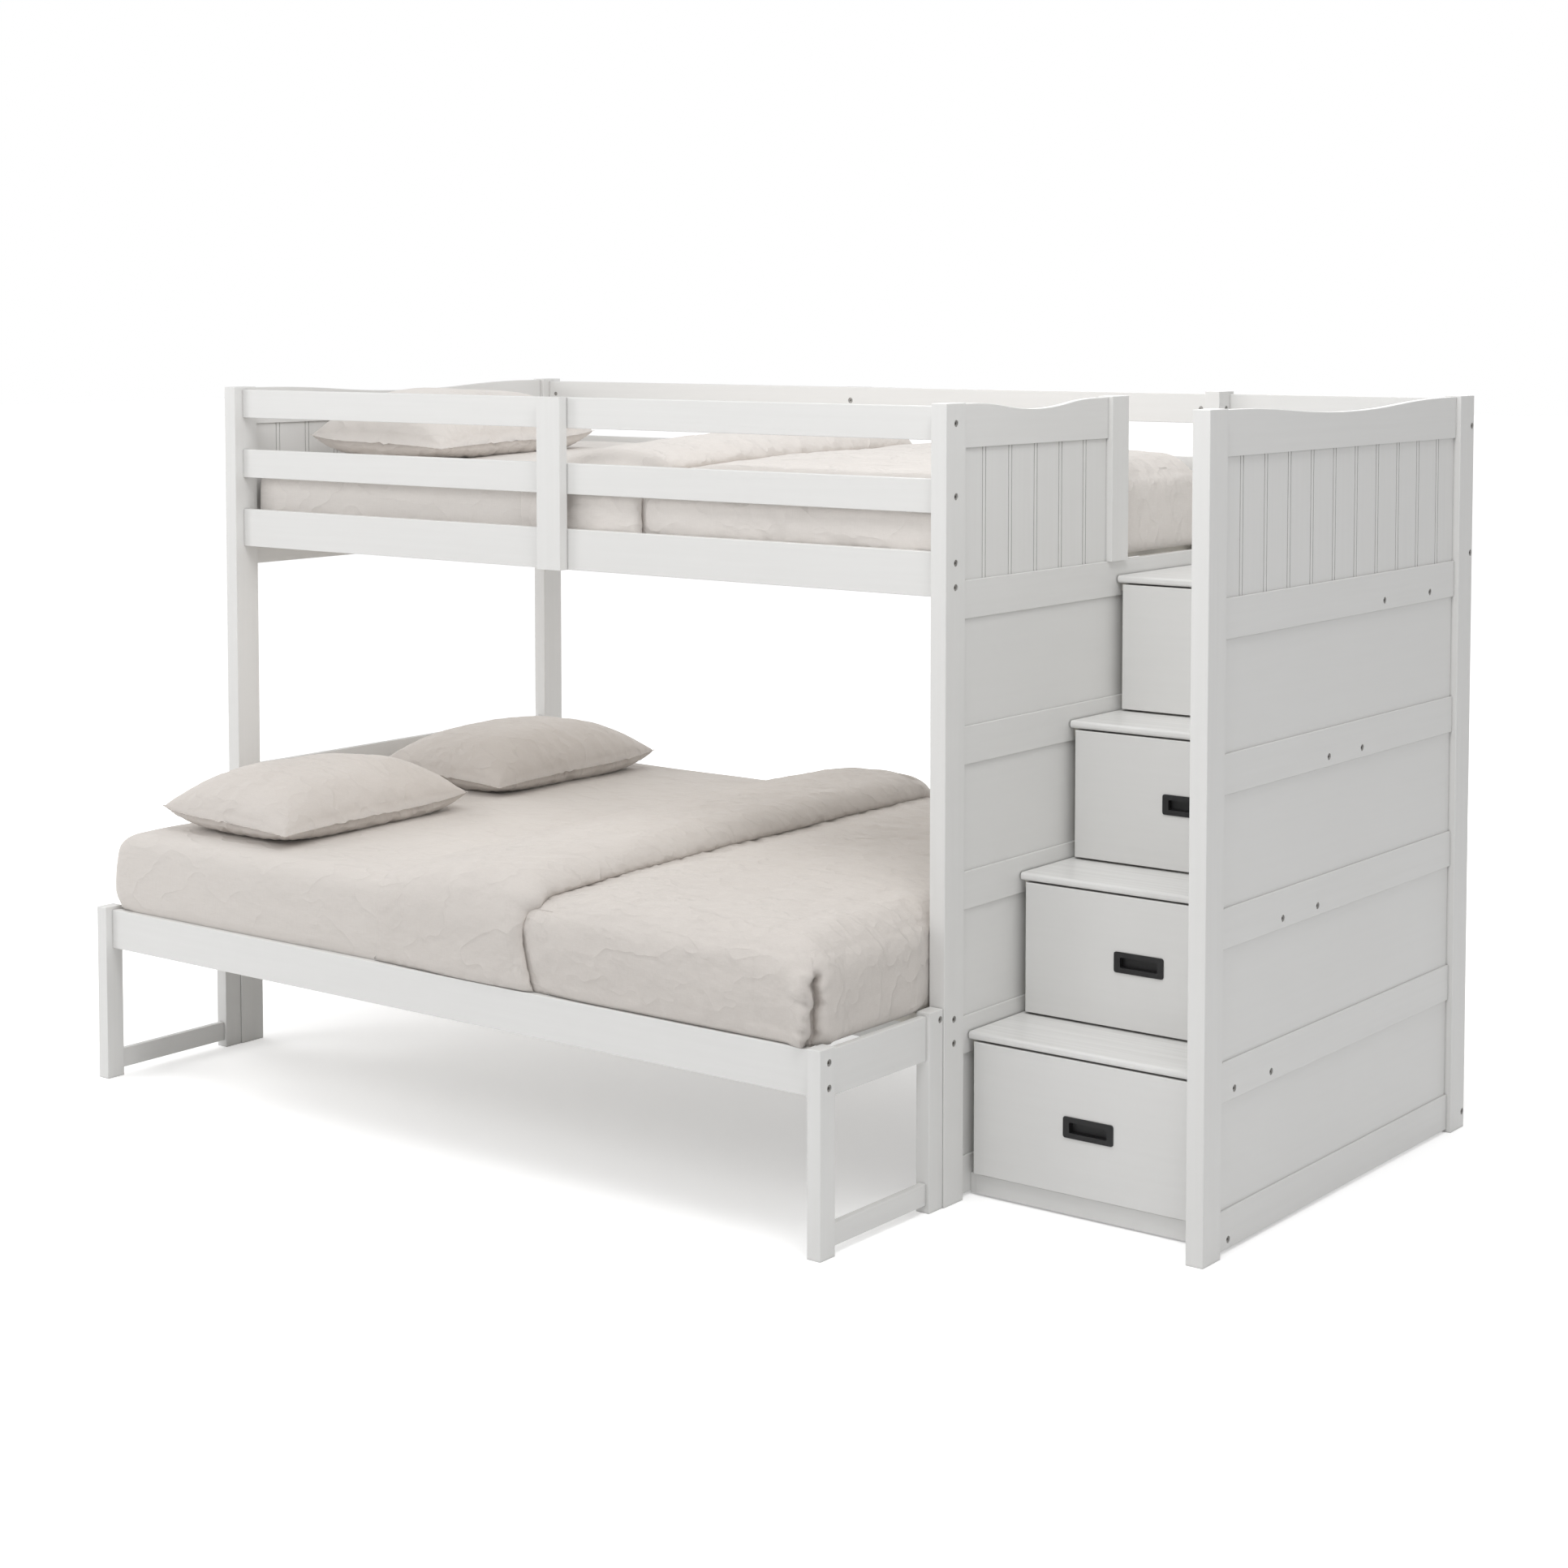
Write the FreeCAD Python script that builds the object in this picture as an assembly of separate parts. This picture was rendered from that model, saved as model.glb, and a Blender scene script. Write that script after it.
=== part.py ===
import FreeCAD, Part
import math
import os

# Bunk bed with a staircase of drawers, in millimetres.
# X runs along the bed towards the stairs, Y from the front to the back, Z up from the floor.
# The origin is on the floor, below the middle of the whole bed.

# Posts and the overall frame
post_width = 35.0
post_depth = 65.0
post_height = 1520.0
stair_gap = 518.0
edge_round = 1.5

# Long rails of both bunks
rail_thick = 18.0
side_rail_height = 85.0
lower_rail_top = 375.0
guard_height = 64.0
guard_gap = 73.0
guard_top_drop = 6.0
upright_width = 65.0
upright_thick = 24.0

# End frames: cross rails, thin panels and the curved top rails
end_rail_thick = 15.0
end_rail_height = 73.0
base_rail_lift = 6.0
left_rail_bottom = 572.0
top_rail_height = 83.0
top_rail_drop = 2.0
top_rail_dip = 16.0
top_rail_land = 40.0
tenon_length = 12.0
tenon_thick = 8.0
tenon_shoulder = 9.0
panel_thick = 6.0
panel_let_in = 8.0
bead_panel_height = 251.0
bead_pitch = 91.0
bead_spacing = 11.0
groove_width = 2.5
groove_depth = 1.5
entry_width = 378.0
gate_post_width = 65.0
gate_tenon_length = 40.0
gate_tenon_shoulder = 15.0

# Front extension of the lower bunk
leg_width = 30.0
leg_depth = 45.0
leg_rise = 7.0
leg_inset = 3.0
extension_rail_setback = 18.0
stretcher_height = 42.0
stretcher_lift = 15.0
corner_block_width = 28.0
corner_block_reach = 30.0
corner_block_height = 38.0
corner_block_drop = 2.0
corner_bolt_setback = 9.0
corner_bolt_drop = 12.0

# Slats and the ledges that carry them
slat_count = 12
slat_width = 70.0
slat_thick = 14.0
slat_end_gap = 0.5
ledge_size = 20.0
ledge_block_gap = 4.0

# Steps
step_count = 4
tread_one_top = 319.0
top_tread_depth = 402.0
nose_setback = 93.0
tread_thick = 15.0
tread_lap = 34.0
tread_end_gap = 3.0
tread_back_gap = 5.0
nose_round = 6.0
rail_below_tread = 42.0
cleat_size = 18.0
cleat_front_gap = 3.0
cleat_back_gap = 8.0
cleat_bolt_inset = 37.0
top_bolt_front = 88.0
top_bolt_back = 108.0
plinth_lift = 3.0
plinth_height = 39.0
plinth_thick = 15.0
plinth_setback = 11.0
plinth_block_depth = 40.0
plinth_block_setback = 2.0
stair_guard_height = 112.0
stair_base_rail_height = 54.0

# Drawers
drawer_side_gap = 4.0
drawer_head_gap = 3.0
drawer_floor_gap = 4.0
drawer_plinth_gap = 3.0
front_setback = 1.0
front_thick = 18.0
box_inset = 2.0
box_lift = 4.0
box_drop = 25.0
box_back_gap = 11.0
box_side_thick = 12.0
box_bottom_thick = 6.0
box_bottom_lift = 24.0
box_bottom_let_in = 5.0
runner_lift = 10.0
runner_height = 13.0
runner_bite = 6.0
runner_play = 0.4
runner_front_gap = 6.0
runner_back_gap = 11.0
pull_width = 108.0
pull_height = 40.0
pull_lip = 2.0
pull_corner = 5.0
pull_side_border = 11.0
pull_end_border = 7.5
pull_wall = 2.5
pull_depth = 12.0
pull_play = 0.3

# Connector bolts and barrel nuts
shank_radius = 3.0
head_radius = 6.5
head_height = 5.0
head_sink = 7.0
hex_sides = 6
socket_radius = 2.9
socket_depth = 2.5
bolt_play = 0.2
bolt_grip = 16.0
nut_radius = 5.0
nut_sink = 1.0
nut_cover = 3.0
nut_setback = 22.0
nut_slot_width = 1.4
nut_slot_depth = 1.5
shank_past_nut = 8.0
bolt_pair_spacing = 46.0
plinth_bolt_reach = 30.0
overrun = 5.0

# Bedding
full_mattress_length = 1905.0
full_mattress_width = 1372.0
full_mattress_thick = 156.0
full_front_gap = 15.0
full_back_gap = 43.0
twin_mattress_width = 972.0
twin_mattress_thick = 146.0
twin_side_gap = 24.5
mattress_head_gap = 5.0
mattress_foot_gap = 5.0
mattress_corner = 45.0
mattress_crown = 7.0
soft_gap = 0.3
duvet_thick = 32.0
duvet_side = 14.0
duvet_end = 15.0
duvet_hem_lift = 5.0
fold_thick = 14.0
fold_side = 4.0
full_crease = 800.0
full_fold_width = 443.0
twin_crease = 818.0
twin_fold_width = 350.0
pillow_width = 420.0
pillow_length = 560.0
pillow_thick = 140.0
pillow_sink = 12.0
pillow_turn = -3.0
pillow_middle_gap = 130.0
front_pillow_head = 50.0
back_pillow_head = 22.0
upper_pillow_head = 50.0
upper_pillow_side = 88.0

# Shares: how far in from each end a mattress outline stands, and by how much it draws in there
mattress_end_shares = ((0.0, 0.62), (0.12, 0.34), (0.38, 0.1), (1.0, 0.0))
# Shares of a pillow's half length, width and thickness, from one short seam to the other
pillow_shares = (
    (-1.0, 1.0, 0.1),
    (-0.93, 0.975, 0.36),
    (-0.78, 0.955, 0.66),
    (-0.5, 0.94, 0.9),
    (0.0, 0.93, 1.0),
    (0.5, 0.94, 0.9),
    (0.78, 0.955, 0.66),
    (0.93, 0.975, 0.36),
    (1.0, 1.0, 0.1),
)
pillow_seam_share = 0.42
crease_share = 0.45

# The bunks are as long as a covered mattress, the bed as deep as the upper one and the front
# extension as deep as the lower mattress needs beyond that
bunk_gap = mattress_head_gap + full_mattress_length + duvet_end + mattress_foot_gap
bed_depth = twin_mattress_width + 2 * (twin_side_gap + rail_thick + upright_thick)
back_rail_depth = bed_depth - upright_thick - rail_thick
full_bed_depth = extension_rail_setback + full_front_gap + full_mattress_width + full_back_gap
extension_depth = full_bed_depth - back_rail_depth

# Places along X: the three post lines
X = FreeCAD.Vector(1, 0, 0)
Y = FreeCAD.Vector(0, 1, 0)
Z = FreeCAD.Vector(0, 0, 1)
post_lines = 3
left_x = -(post_lines * post_width + bunk_gap + stair_gap) / 2
left_in = left_x + post_width
inner_x = left_in + bunk_gap
inner_out = inner_x + post_width
outer_x = inner_out + stair_gap
outer_out = outer_x + post_width
left_mid = left_x + post_width / 2
inner_mid = inner_x + post_width / 2
outer_mid = outer_x + post_width / 2
bunk_mid = (left_in + inner_x) / 2

# Places along Y: the extension's front, the front posts and the back posts
extension_y = -(extension_depth + bed_depth) / 2
front_y = extension_y + extension_depth
front_in = front_y + post_depth
back_out = front_y + bed_depth
back_in = back_out - post_depth
rail_y = front_y + upright_thick
rail_in = rail_y + rail_thick
back_rail_y = back_out - upright_thick - rail_thick
gate_y = back_in - entry_width - gate_post_width

# Heights
guard_top = post_height - guard_top_drop
guard_bottoms = [guard_top - guard_height, guard_top - 2 * guard_height - guard_gap]
side_rail_top = guard_bottoms[-1] - guard_gap
side_rail_bottom = side_rail_top - side_rail_height
lower_rail_bottom = lower_rail_top - side_rail_height
top_rail_top = post_height - top_rail_drop
top_rail_bottom = top_rail_top - top_rail_height
leg_height = lower_rail_top + leg_rise

# The steps share the height from the first tread to the upper bunk's end rail, and the depth to the back
high_rail_top = top_rail_bottom - bead_panel_height
high_rail_bottom = high_rail_top - end_rail_height
last_tread_top = high_rail_bottom + rail_below_tread
step_rise = (last_tread_top - tread_one_top) / (step_count - 1)
tread_tops = [tread_one_top + step * step_rise for step in range(step_count)]
first_nose = front_y + nose_setback
last_tread_back = back_in - tread_back_gap
step_run = (last_tread_back - top_tread_depth - first_nose) / (step_count - 1)
noses = [first_nose + step * step_run for step in range(step_count)]
frame_rail_bottoms = [base_rail_lift] + [top - rail_below_tread for top in tread_tops]

nut_length = rail_thick - nut_sink - nut_cover

nodes = {}
bolts = []
nuts = []
bores = []


def board(x0, x1, y0, y1, z0, z1):
    """A plain board between two corners."""
    return Part.makeBox(x1 - x0, y1 - y0, z1 - z0, FreeCAD.Vector(x0, y0, z0))


def eased(shape, direction, radius=edge_round):
    """Rounds the straight edges that run along one direction."""
    along = []
    for edge in shape.Edges:
        run = edge.Vertexes[-1].Point.sub(edge.Vertexes[0].Point)
        if run.Length > 0 and run.cross(direction).Length < run.Length * 1e-6:
            along.append(edge)
    return shape.makeFillet(radius, along)


def standing(shape):
    """Rounds every edge of a post but those of its foot."""
    foot = shape.BoundBox.ZMin
    above = [edge for edge in shape.Edges if edge.BoundBox.ZMax - foot > edge_round]
    return shape.makeFillet(edge_round, above)


def one_solid(shape):
    """The single solid that a boolean leaves, without leftover seams."""
    return shape.removeSplitter().Solids[0]


def fitted(shape, neighbours):
    """Cuts the neighbours' tongues, tenons and edges out of a board."""
    return one_solid(shape.cut(Part.makeCompound(neighbours)))


def bolt(point, direction, reach):
    """Adds one sunk bolt, entering at a point on a face and holding for a reach past its head."""
    seat = point + direction * head_sink
    shank = Part.makeCylinder(shank_radius, reach, seat, direction)
    crown = point + direction * (head_sink - head_height)
    head = Part.makeCylinder(head_radius, head_height, crown, direction)
    across = FreeCAD.Vector(direction.y, direction.z, direction.x)
    beside = direction.cross(across)
    ring = []
    for corner in range(hex_sides + 1):
        turn = 2 * math.pi * corner / hex_sides
        ring.append(crown + (across * math.cos(turn) + beside * math.sin(turn)) * socket_radius)
    socket = Part.Face(Part.makePolygon(ring)).extrude(direction * socket_depth)
    bolts.append(one_solid(head.fuse(shank).cut(socket)))
    mouth = point - direction * overrun
    bores.append(Part.makeCylinder(head_radius + bolt_play, overrun + head_sink, mouth, direction))
    bores.append(Part.makeCylinder(shank_radius + bolt_play, head_sink + reach + bolt_play, point, direction))


def barrel_nut(point, direction, bolt_direction):
    """Adds one barrel nut, let in from a point on a face, across the bolt that it holds."""
    start = point + direction * nut_sink
    nut = Part.makeCylinder(nut_radius, nut_length, start, direction)
    middle = point + direction * (rail_thick / 2) - bolt_direction * nut_length
    thread = Part.makeCylinder(shank_radius + bolt_play, 2 * nut_length, middle, bolt_direction)
    side = bolt_direction * nut_radius + bolt_direction.cross(direction) * (nut_slot_width / 2)
    ends = [start + side, start - side]
    corner = FreeCAD.Vector(*[min(end[axis] for end in ends) for axis in range(3)])
    size = FreeCAD.Vector(*[abs(ends[0][axis] - ends[1][axis]) for axis in range(3)])
    if min(direction) < 0:
        corner = corner + direction * nut_slot_depth
    size = size + FreeCAD.Vector(*[abs(value) * nut_slot_depth for value in direction])
    slot = Part.makeBox(size.x, size.y, size.z, corner)
    nuts.append(one_solid(nut.cut(thread).cut(slot)))
    mouth = point - direction * overrun
    bores.append(Part.makeCylinder(nut_radius + bolt_play, overrun + nut_sink + nut_length, mouth, direction))


def end_bolt(post_face, rail_end, direction, y, z, nut_face, nut_direction):
    """One bolt through a post into the end of a rail, with its barrel nut in the rail."""
    through = abs(rail_end - post_face) - head_sink
    bolt(FreeCAD.Vector(post_face, y, z), direction, through + nut_setback + shank_past_nut)
    nut_x = rail_end + direction.x * nut_setback
    barrel_nut(FreeCAD.Vector(nut_x, nut_face, z), nut_direction, direction)


# Posts: six full-height posts, and the short gate post beside the top of the stairs
def post(x, y):
    return standing(board(x, x + post_width, y, y + post_depth, 0, post_height))


gate_blank = board(inner_x, inner_out, gate_y, gate_y + gate_post_width, high_rail_top, post_height)
gate_tenon = board(
    inner_mid - tenon_thick / 2,
    inner_mid + tenon_thick / 2,
    gate_y + gate_tenon_shoulder,
    gate_y + gate_post_width - gate_tenon_shoulder,
    high_rail_top - gate_tenon_length,
    high_rail_top,
)
gate_post = one_solid(standing(gate_blank).fuse(gate_tenon))


# End frames: cross rails tenoned into the posts, thin panels let into rails and posts
def tenoned(body, x_mid, y0, y1, z0, z1, thick):
    """Adds a stub tenon on each end of a rail that runs along Y."""
    half = thick / 2
    tongue = board(x_mid - half, x_mid + half, y0 - tenon_length, y1 + tenon_length,
                   z0 + tenon_shoulder, z1 - tenon_shoulder)
    return one_solid(body.fuse(tongue))


def cross_rail(x_mid, y0, y1, z0, height):
    half = end_rail_thick / 2
    body = eased(board(x_mid - half, x_mid + half, y0, y1, z0, z0 + height), Y)
    return tenoned(body, x_mid, y0, y1, z0, z0 + height, tenon_thick)


def curved_rail(x_mid, y0, y1):
    """Top rail whose upper edge dips in a gentle wave between two level lands."""
    x = x_mid - end_rail_thick / 2
    reach = (y1 - y0) / 2 - top_rail_land
    turn = 2 * math.atan(top_rail_dip / reach)
    radius = reach / 2 / math.sin(turn)
    out = radius * math.sin(turn / 2)
    fall = radius * (1 - math.cos(turn / 2))

    def at(y, z):
        return FreeCAD.Vector(x, y, z)

    start = y0 + top_rail_land
    middle = (y0 + y1) / 2
    end = y1 - top_rail_land
    half_dip = top_rail_top - top_rail_dip / 2
    first = at(start + reach / 2, half_dip)
    second = at(end - reach / 2, half_dip)
    edges = [
        Part.makeLine(at(y0, top_rail_bottom), at(y0, top_rail_top)),
        Part.makeLine(at(y0, top_rail_top), at(start, top_rail_top)),
        Part.Arc(at(start, top_rail_top), at(start + out, top_rail_top - fall), first).toShape(),
        Part.Arc(first, at(middle, top_rail_top - top_rail_dip), second).toShape(),
        Part.Arc(second, at(end - out, top_rail_top - fall), at(end, top_rail_top)).toShape(),
        Part.makeLine(at(end, top_rail_top), at(y1, top_rail_top)),
        Part.makeLine(at(y1, top_rail_top), at(y1, top_rail_bottom)),
        Part.makeLine(at(y1, top_rail_bottom), at(y0, top_rail_bottom)),
    ]
    body = Part.Face(Part.Wire(edges)).extrude(X * end_rail_thick)
    rims = []
    for edge in body.Edges:
        ends = [vertex.Point for vertex in edge.Vertexes]
        level = min(point.z for point in ends) > top_rail_bottom
        if level and abs(ends[0].x - ends[-1].x) < edge_round:
            rims.append(edge)
    body = body.makeFillet(edge_round, rims)
    return tenoned(body, x_mid, y0, y1, top_rail_bottom, top_rail_top - top_rail_dip, tenon_thick)


def flat_panel(x_mid, y0, y1, z0, z1):
    half = panel_thick / 2
    return board(x_mid - half, x_mid + half, y0 - panel_let_in, y1 + panel_let_in,
                 z0 - panel_let_in, z1 + panel_let_in)


def bead_panel(x_mid, y0, y1, z0, z1):
    """Panel with pairs of narrow grooves on both faces, evenly pitched about its middle."""
    panel = flat_panel(x_mid, y0, y1, z0, z1)
    count = int((y1 - y0) / bead_pitch)
    first = (y0 + y1) / 2 - bead_pitch * (count - 1) / 2
    grooves = []
    for bead in range(count):
        for side in (-1, 1):
            y = first + bead * bead_pitch + side * bead_spacing / 2
            low = y - groove_width / 2
            high = y + groove_width / 2
            for face in (-1, 1):
                skin = x_mid + face * panel_thick / 2
                floor = skin - face * groove_depth
                grooves.append(board(min(skin, floor), max(skin, floor), low, high, z0, z1))
    return one_solid(panel.cut(Part.makeCompound(grooves)))


full_span = (front_in, back_in)
gate_span = (front_in, gate_y)
high_panel = (high_rail_top, top_rail_bottom)

left_bead = bead_panel(left_mid, *full_span, *high_panel)
left_rails = [
    cross_rail(left_mid, *full_span, high_rail_bottom, end_rail_height),
    cross_rail(left_mid, *full_span, left_rail_bottom, end_rail_height),
    cross_rail(left_mid, *full_span, lower_rail_bottom, side_rail_height),
]
left_top = curved_rail(left_mid, *full_span)

inner_bead = bead_panel(inner_mid, *gate_span, *high_panel)
inner_rails = [cross_rail(inner_mid, *full_span, z, end_rail_height) for z in frame_rail_bottoms]
inner_top = curved_rail(inner_mid, *gate_span)
outer_bead = bead_panel(outer_mid, *full_span, *high_panel)
outer_rails = [cross_rail(outer_mid, *full_span, z, end_rail_height) for z in frame_rail_bottoms]
outer_top = curved_rail(outer_mid, *full_span)

panel_gaps = []
for low, high in zip(frame_rail_bottoms, frame_rail_bottoms[1:]):
    panel_gaps.append((low + end_rail_height, high))
inner_panels = [flat_panel(inner_mid, *full_span, *gap) for gap in panel_gaps]
outer_panels = [flat_panel(outer_mid, *full_span, *gap) for gap in panel_gaps]

inner_rails = [fitted(rail, inner_panels + [inner_bead, gate_post]) for rail in inner_rails]
outer_rails = [fitted(rail, outer_panels + [outer_bead]) for rail in outer_rails]
left_rails = [fitted(rail, [left_bead]) for rail in left_rails]
inner_top = fitted(inner_top, [inner_bead])
outer_top = fitted(outer_top, [outer_bead])
left_top = fitted(left_top, [left_bead])

left_frame = left_rails + [left_top, left_bead]
inner_frame = inner_rails + inner_panels + [inner_top, inner_bead]
outer_frame = outer_rails + outer_panels + [outer_top, outer_bead]
nodes["left_front_post"] = [fitted(post(left_x, front_y), left_frame)]
nodes["left_back_post"] = [fitted(post(left_x, back_in), left_frame)]
nodes["inner_front_post"] = [fitted(post(inner_x, front_y), inner_frame)]
nodes["inner_back_post"] = [fitted(post(inner_x, back_in), inner_frame)]
nodes["outer_front_post"] = [fitted(post(outer_x, front_y), outer_frame)]
nodes["outer_back_post"] = [fitted(post(outer_x, back_in), outer_frame)]
nodes["gate_post"] = [fitted(gate_post, [inner_top, inner_bead])]
nodes["left_top_rail"] = [left_top]
nodes["inner_top_rail"] = [inner_top]
nodes["outer_top_rail"] = [outer_top]
nodes["left_bead_panel"] = [left_bead]
nodes["inner_bead_panel"] = [inner_bead]
nodes["outer_bead_panel"] = [outer_bead]
nodes["left_cross_rails"] = left_rails
nodes["inner_cross_rails"] = inner_rails
nodes["outer_cross_rails"] = outer_rails
nodes["inner_flat_panels"] = inner_panels
nodes["outer_flat_panels"] = outer_panels


# Long rails between the posts, with two bolts in a tall rail's end and one in a guard rail's
def long_rail(x0, x1, y, z, height):
    return eased(board(x0, x1, y, y + rail_thick, z, z + height), X)


def bunk_rail(y, z, height, inside):
    """A rail between the left and inner posts, bolted at both ends; inside is +1 for a front rail."""
    middle = y + rail_thick / 2
    heights = [z + height / 2]
    if height > bolt_pair_spacing + 4 * nut_radius:
        heights = [z + height / 2 - bolt_pair_spacing / 2, z + height / 2 + bolt_pair_spacing / 2]
    nut_face = middle + inside * rail_thick / 2
    for bolt_z in heights:
        end_bolt(left_x, left_in, X, middle, bolt_z, nut_face, Y * -inside)
        end_bolt(inner_out, inner_x, X * -1, middle, bolt_z, nut_face, Y * -inside)
    return long_rail(left_in, inner_x, y, z, height)


nodes["upper_side_rails"] = [
    bunk_rail(rail_y, side_rail_bottom, side_rail_height, 1),
    bunk_rail(back_rail_y, side_rail_bottom, side_rail_height, -1),
]
nodes["front_guard_rails"] = [bunk_rail(rail_y, z, guard_height, 1) for z in guard_bottoms]
nodes["back_guard_rails"] = [bunk_rail(back_rail_y, z, guard_height, -1) for z in guard_bottoms]
nodes["lower_side_rails"] = [
    bunk_rail(rail_y, lower_rail_bottom, side_rail_height, 1),
    bunk_rail(back_rail_y, lower_rail_bottom, side_rail_height, -1),
]


# Uprights: one across the middle of the front rails and one across the back ones, bolted from inside
def upright(y):
    x0 = bunk_mid - upright_width / 2
    blank = board(x0, x0 + upright_width, y, y + upright_thick, side_rail_bottom, guard_top)
    return eased(blank, Z)


nodes["guard_uprights"] = [upright(front_y), upright(back_out - upright_thick)]
upright_reach = rail_thick - head_sink + bolt_grip
side_rail_middle = (side_rail_bottom + side_rail_top) / 2
for z in [side_rail_middle] + [bottom + guard_height / 2 for bottom in guard_bottoms]:
    bolt(FreeCAD.Vector(bunk_mid, rail_in, z), Y * -1, upright_reach)
    bolt(FreeCAD.Vector(bunk_mid, back_rail_y, z), Y, upright_reach)


# Front extension: four short legs, a long rail, end rails and low stretchers
def leg(x, y):
    return standing(board(x, x + leg_width, y, y + leg_depth, 0, leg_height))


leg_left_x = left_in - leg_inset - leg_width
leg_right_x = inner_out - leg_inset - leg_width
leg_front_in = extension_y + leg_depth
leg_back_y = front_y - leg_depth
end_rails = []
for x in (leg_left_x, leg_right_x):
    leg_mid = x + leg_width / 2
    end_rails.append(cross_rail(leg_mid, leg_front_in, leg_back_y, lower_rail_bottom, side_rail_height))
    end_rails.append(cross_rail(leg_mid, leg_front_in, leg_back_y, stretcher_lift, stretcher_height))
legs = []
for x in (leg_left_x, leg_right_x):
    for y in (extension_y, leg_back_y):
        legs.append(fitted(leg(x, y), end_rails))
nodes["extension_legs"] = legs
nodes["extension_end_rails"] = end_rails

extension_rail_y = extension_y + extension_rail_setback
extension_rail_in = extension_rail_y + rail_thick
extension_rail_mid = extension_rail_y + rail_thick / 2
extension_x0 = leg_left_x + leg_width
extension_x1 = leg_right_x
nodes["extension_front_rail"] = [
    long_rail(extension_x0, extension_x1, extension_rail_y, lower_rail_bottom, side_rail_height)
]
lower_rail_middle = (lower_rail_bottom + lower_rail_top) / 2
for z in (lower_rail_middle - bolt_pair_spacing / 2, lower_rail_middle + bolt_pair_spacing / 2):
    end_bolt(leg_left_x, extension_x0, X, extension_rail_mid, z, extension_rail_in, Y * -1)
    end_bolt(leg_right_x + leg_width, extension_x1, X * -1, extension_rail_mid, z, extension_rail_in, Y * -1)

# Corner blocks: they tie the extension's inner legs to the lower front rail
block_top = lower_rail_top - corner_block_drop
block_bottom = block_top - corner_block_height
corner_block_y = front_y - corner_block_reach
left_block_x = max(left_in, leg_left_x + leg_width)
right_block_x = min(inner_x, leg_right_x) - corner_block_width
nodes["corner_blocks"] = []
for x in (left_block_x, right_block_x):
    block = board(x, x + corner_block_width, corner_block_y, rail_y, block_bottom, block_top)
    nodes["corner_blocks"].append(block)
block_bolt_y = front_y - corner_bolt_setback
block_bolt_z = lower_rail_top - corner_bolt_drop
left_block_reach = left_block_x - leg_left_x - head_sink + bolt_grip
right_block_in = right_block_x + corner_block_width
right_block_reach = leg_right_x + leg_width - right_block_in - head_sink + bolt_grip
bolt(FreeCAD.Vector(leg_left_x, block_bolt_y, block_bolt_z), X, left_block_reach)
bolt(FreeCAD.Vector(leg_right_x + leg_width, block_bolt_y, block_bolt_z), X * -1, right_block_reach)


# Slats and ledges: the slats lie loose on ledges along the rails' inner faces
def ledge(y, z):
    end_gap = corner_block_width + ledge_block_gap
    return board(left_in + end_gap, inner_x - end_gap, y, y + ledge_size, z, z + ledge_size)


def slats(y0, y1, z):
    row = []
    pitch = bunk_gap / slat_count
    for place in range(slat_count):
        x0 = left_in + pitch * (place + 0.5) - slat_width / 2
        blank = board(x0, x0 + slat_width, y0 + slat_end_gap, y1 - slat_end_gap, z, z + slat_thick)
        row.append(eased(blank, Y))
    return row


upper_ledge_z = side_rail_bottom
upper_slat_z = upper_ledge_z + ledge_size
lower_slat_z = lower_rail_top - slat_thick
lower_ledge_z = lower_slat_z - ledge_size
nodes["slat_ledges"] = [
    ledge(rail_in, upper_ledge_z),
    ledge(back_rail_y - ledge_size, upper_ledge_z),
    ledge(rail_in, lower_ledge_z),
    ledge(back_rail_y - ledge_size, lower_ledge_z),
    ledge(rail_y - ledge_size, lower_ledge_z),
    ledge(extension_rail_in, lower_ledge_z),
]
nodes["upper_slats"] = slats(rail_in, back_rail_y, upper_slat_z)
nodes["lower_slats"] = slats(rail_in, back_rail_y, lower_slat_z)
nodes["extension_slats"] = slats(extension_rail_in, rail_y, lower_slat_z)

# Steps: each tread rests on two cleats that are bolted through the cross rails of both end frames
step_x0 = inner_mid + end_rail_thick / 2
step_x1 = outer_mid - end_rail_thick / 2
front_backs = [nose + front_setback + front_thick for nose in noses]
tread_backs = [nose + step_run + tread_lap for nose in noses]
tread_backs[-1] = last_tread_back
cleats = []
for step in range(step_count):
    nose = noses[step]
    under = tread_tops[step] - tread_thick
    tread = board(step_x0 + tread_end_gap, step_x1 - tread_end_gap, nose, tread_backs[step],
                  under, tread_tops[step])
    nose_edges = [edge for edge in tread.Edges if edge.CenterOfMass.y - nose < edge_round]
    nose_edges = [edge for edge in nose_edges if edge.Length > tread_thick]
    nodes[f"tread_{step + 1}"] = [tread.makeFillet(nose_round, nose_edges)]
    y0 = front_backs[step] + cleat_front_gap
    y1 = tread_backs[step] - cleat_back_gap
    cleats.append(board(step_x0, step_x0 + cleat_size, y0, y1, under - cleat_size, under))
    cleats.append(board(step_x1 - cleat_size, step_x1, y0, y1, under - cleat_size, under))
    bolt_ys = (nose + cleat_bolt_inset, tread_backs[step] - cleat_bolt_inset)
    if step == step_count - 1:
        bolt_ys = (nose + top_bolt_front, tread_backs[step] - top_bolt_back)
    cleat_reach = end_rail_thick - head_sink + bolt_grip
    z = under - cleat_size / 2
    for y in bolt_ys:
        bolt(FreeCAD.Vector(inner_mid - end_rail_thick / 2, y, z), X, cleat_reach)
        bolt(FreeCAD.Vector(outer_mid + end_rail_thick / 2, y, z), X * -1, cleat_reach)
nodes["tread_cleats"] = cleats

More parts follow.
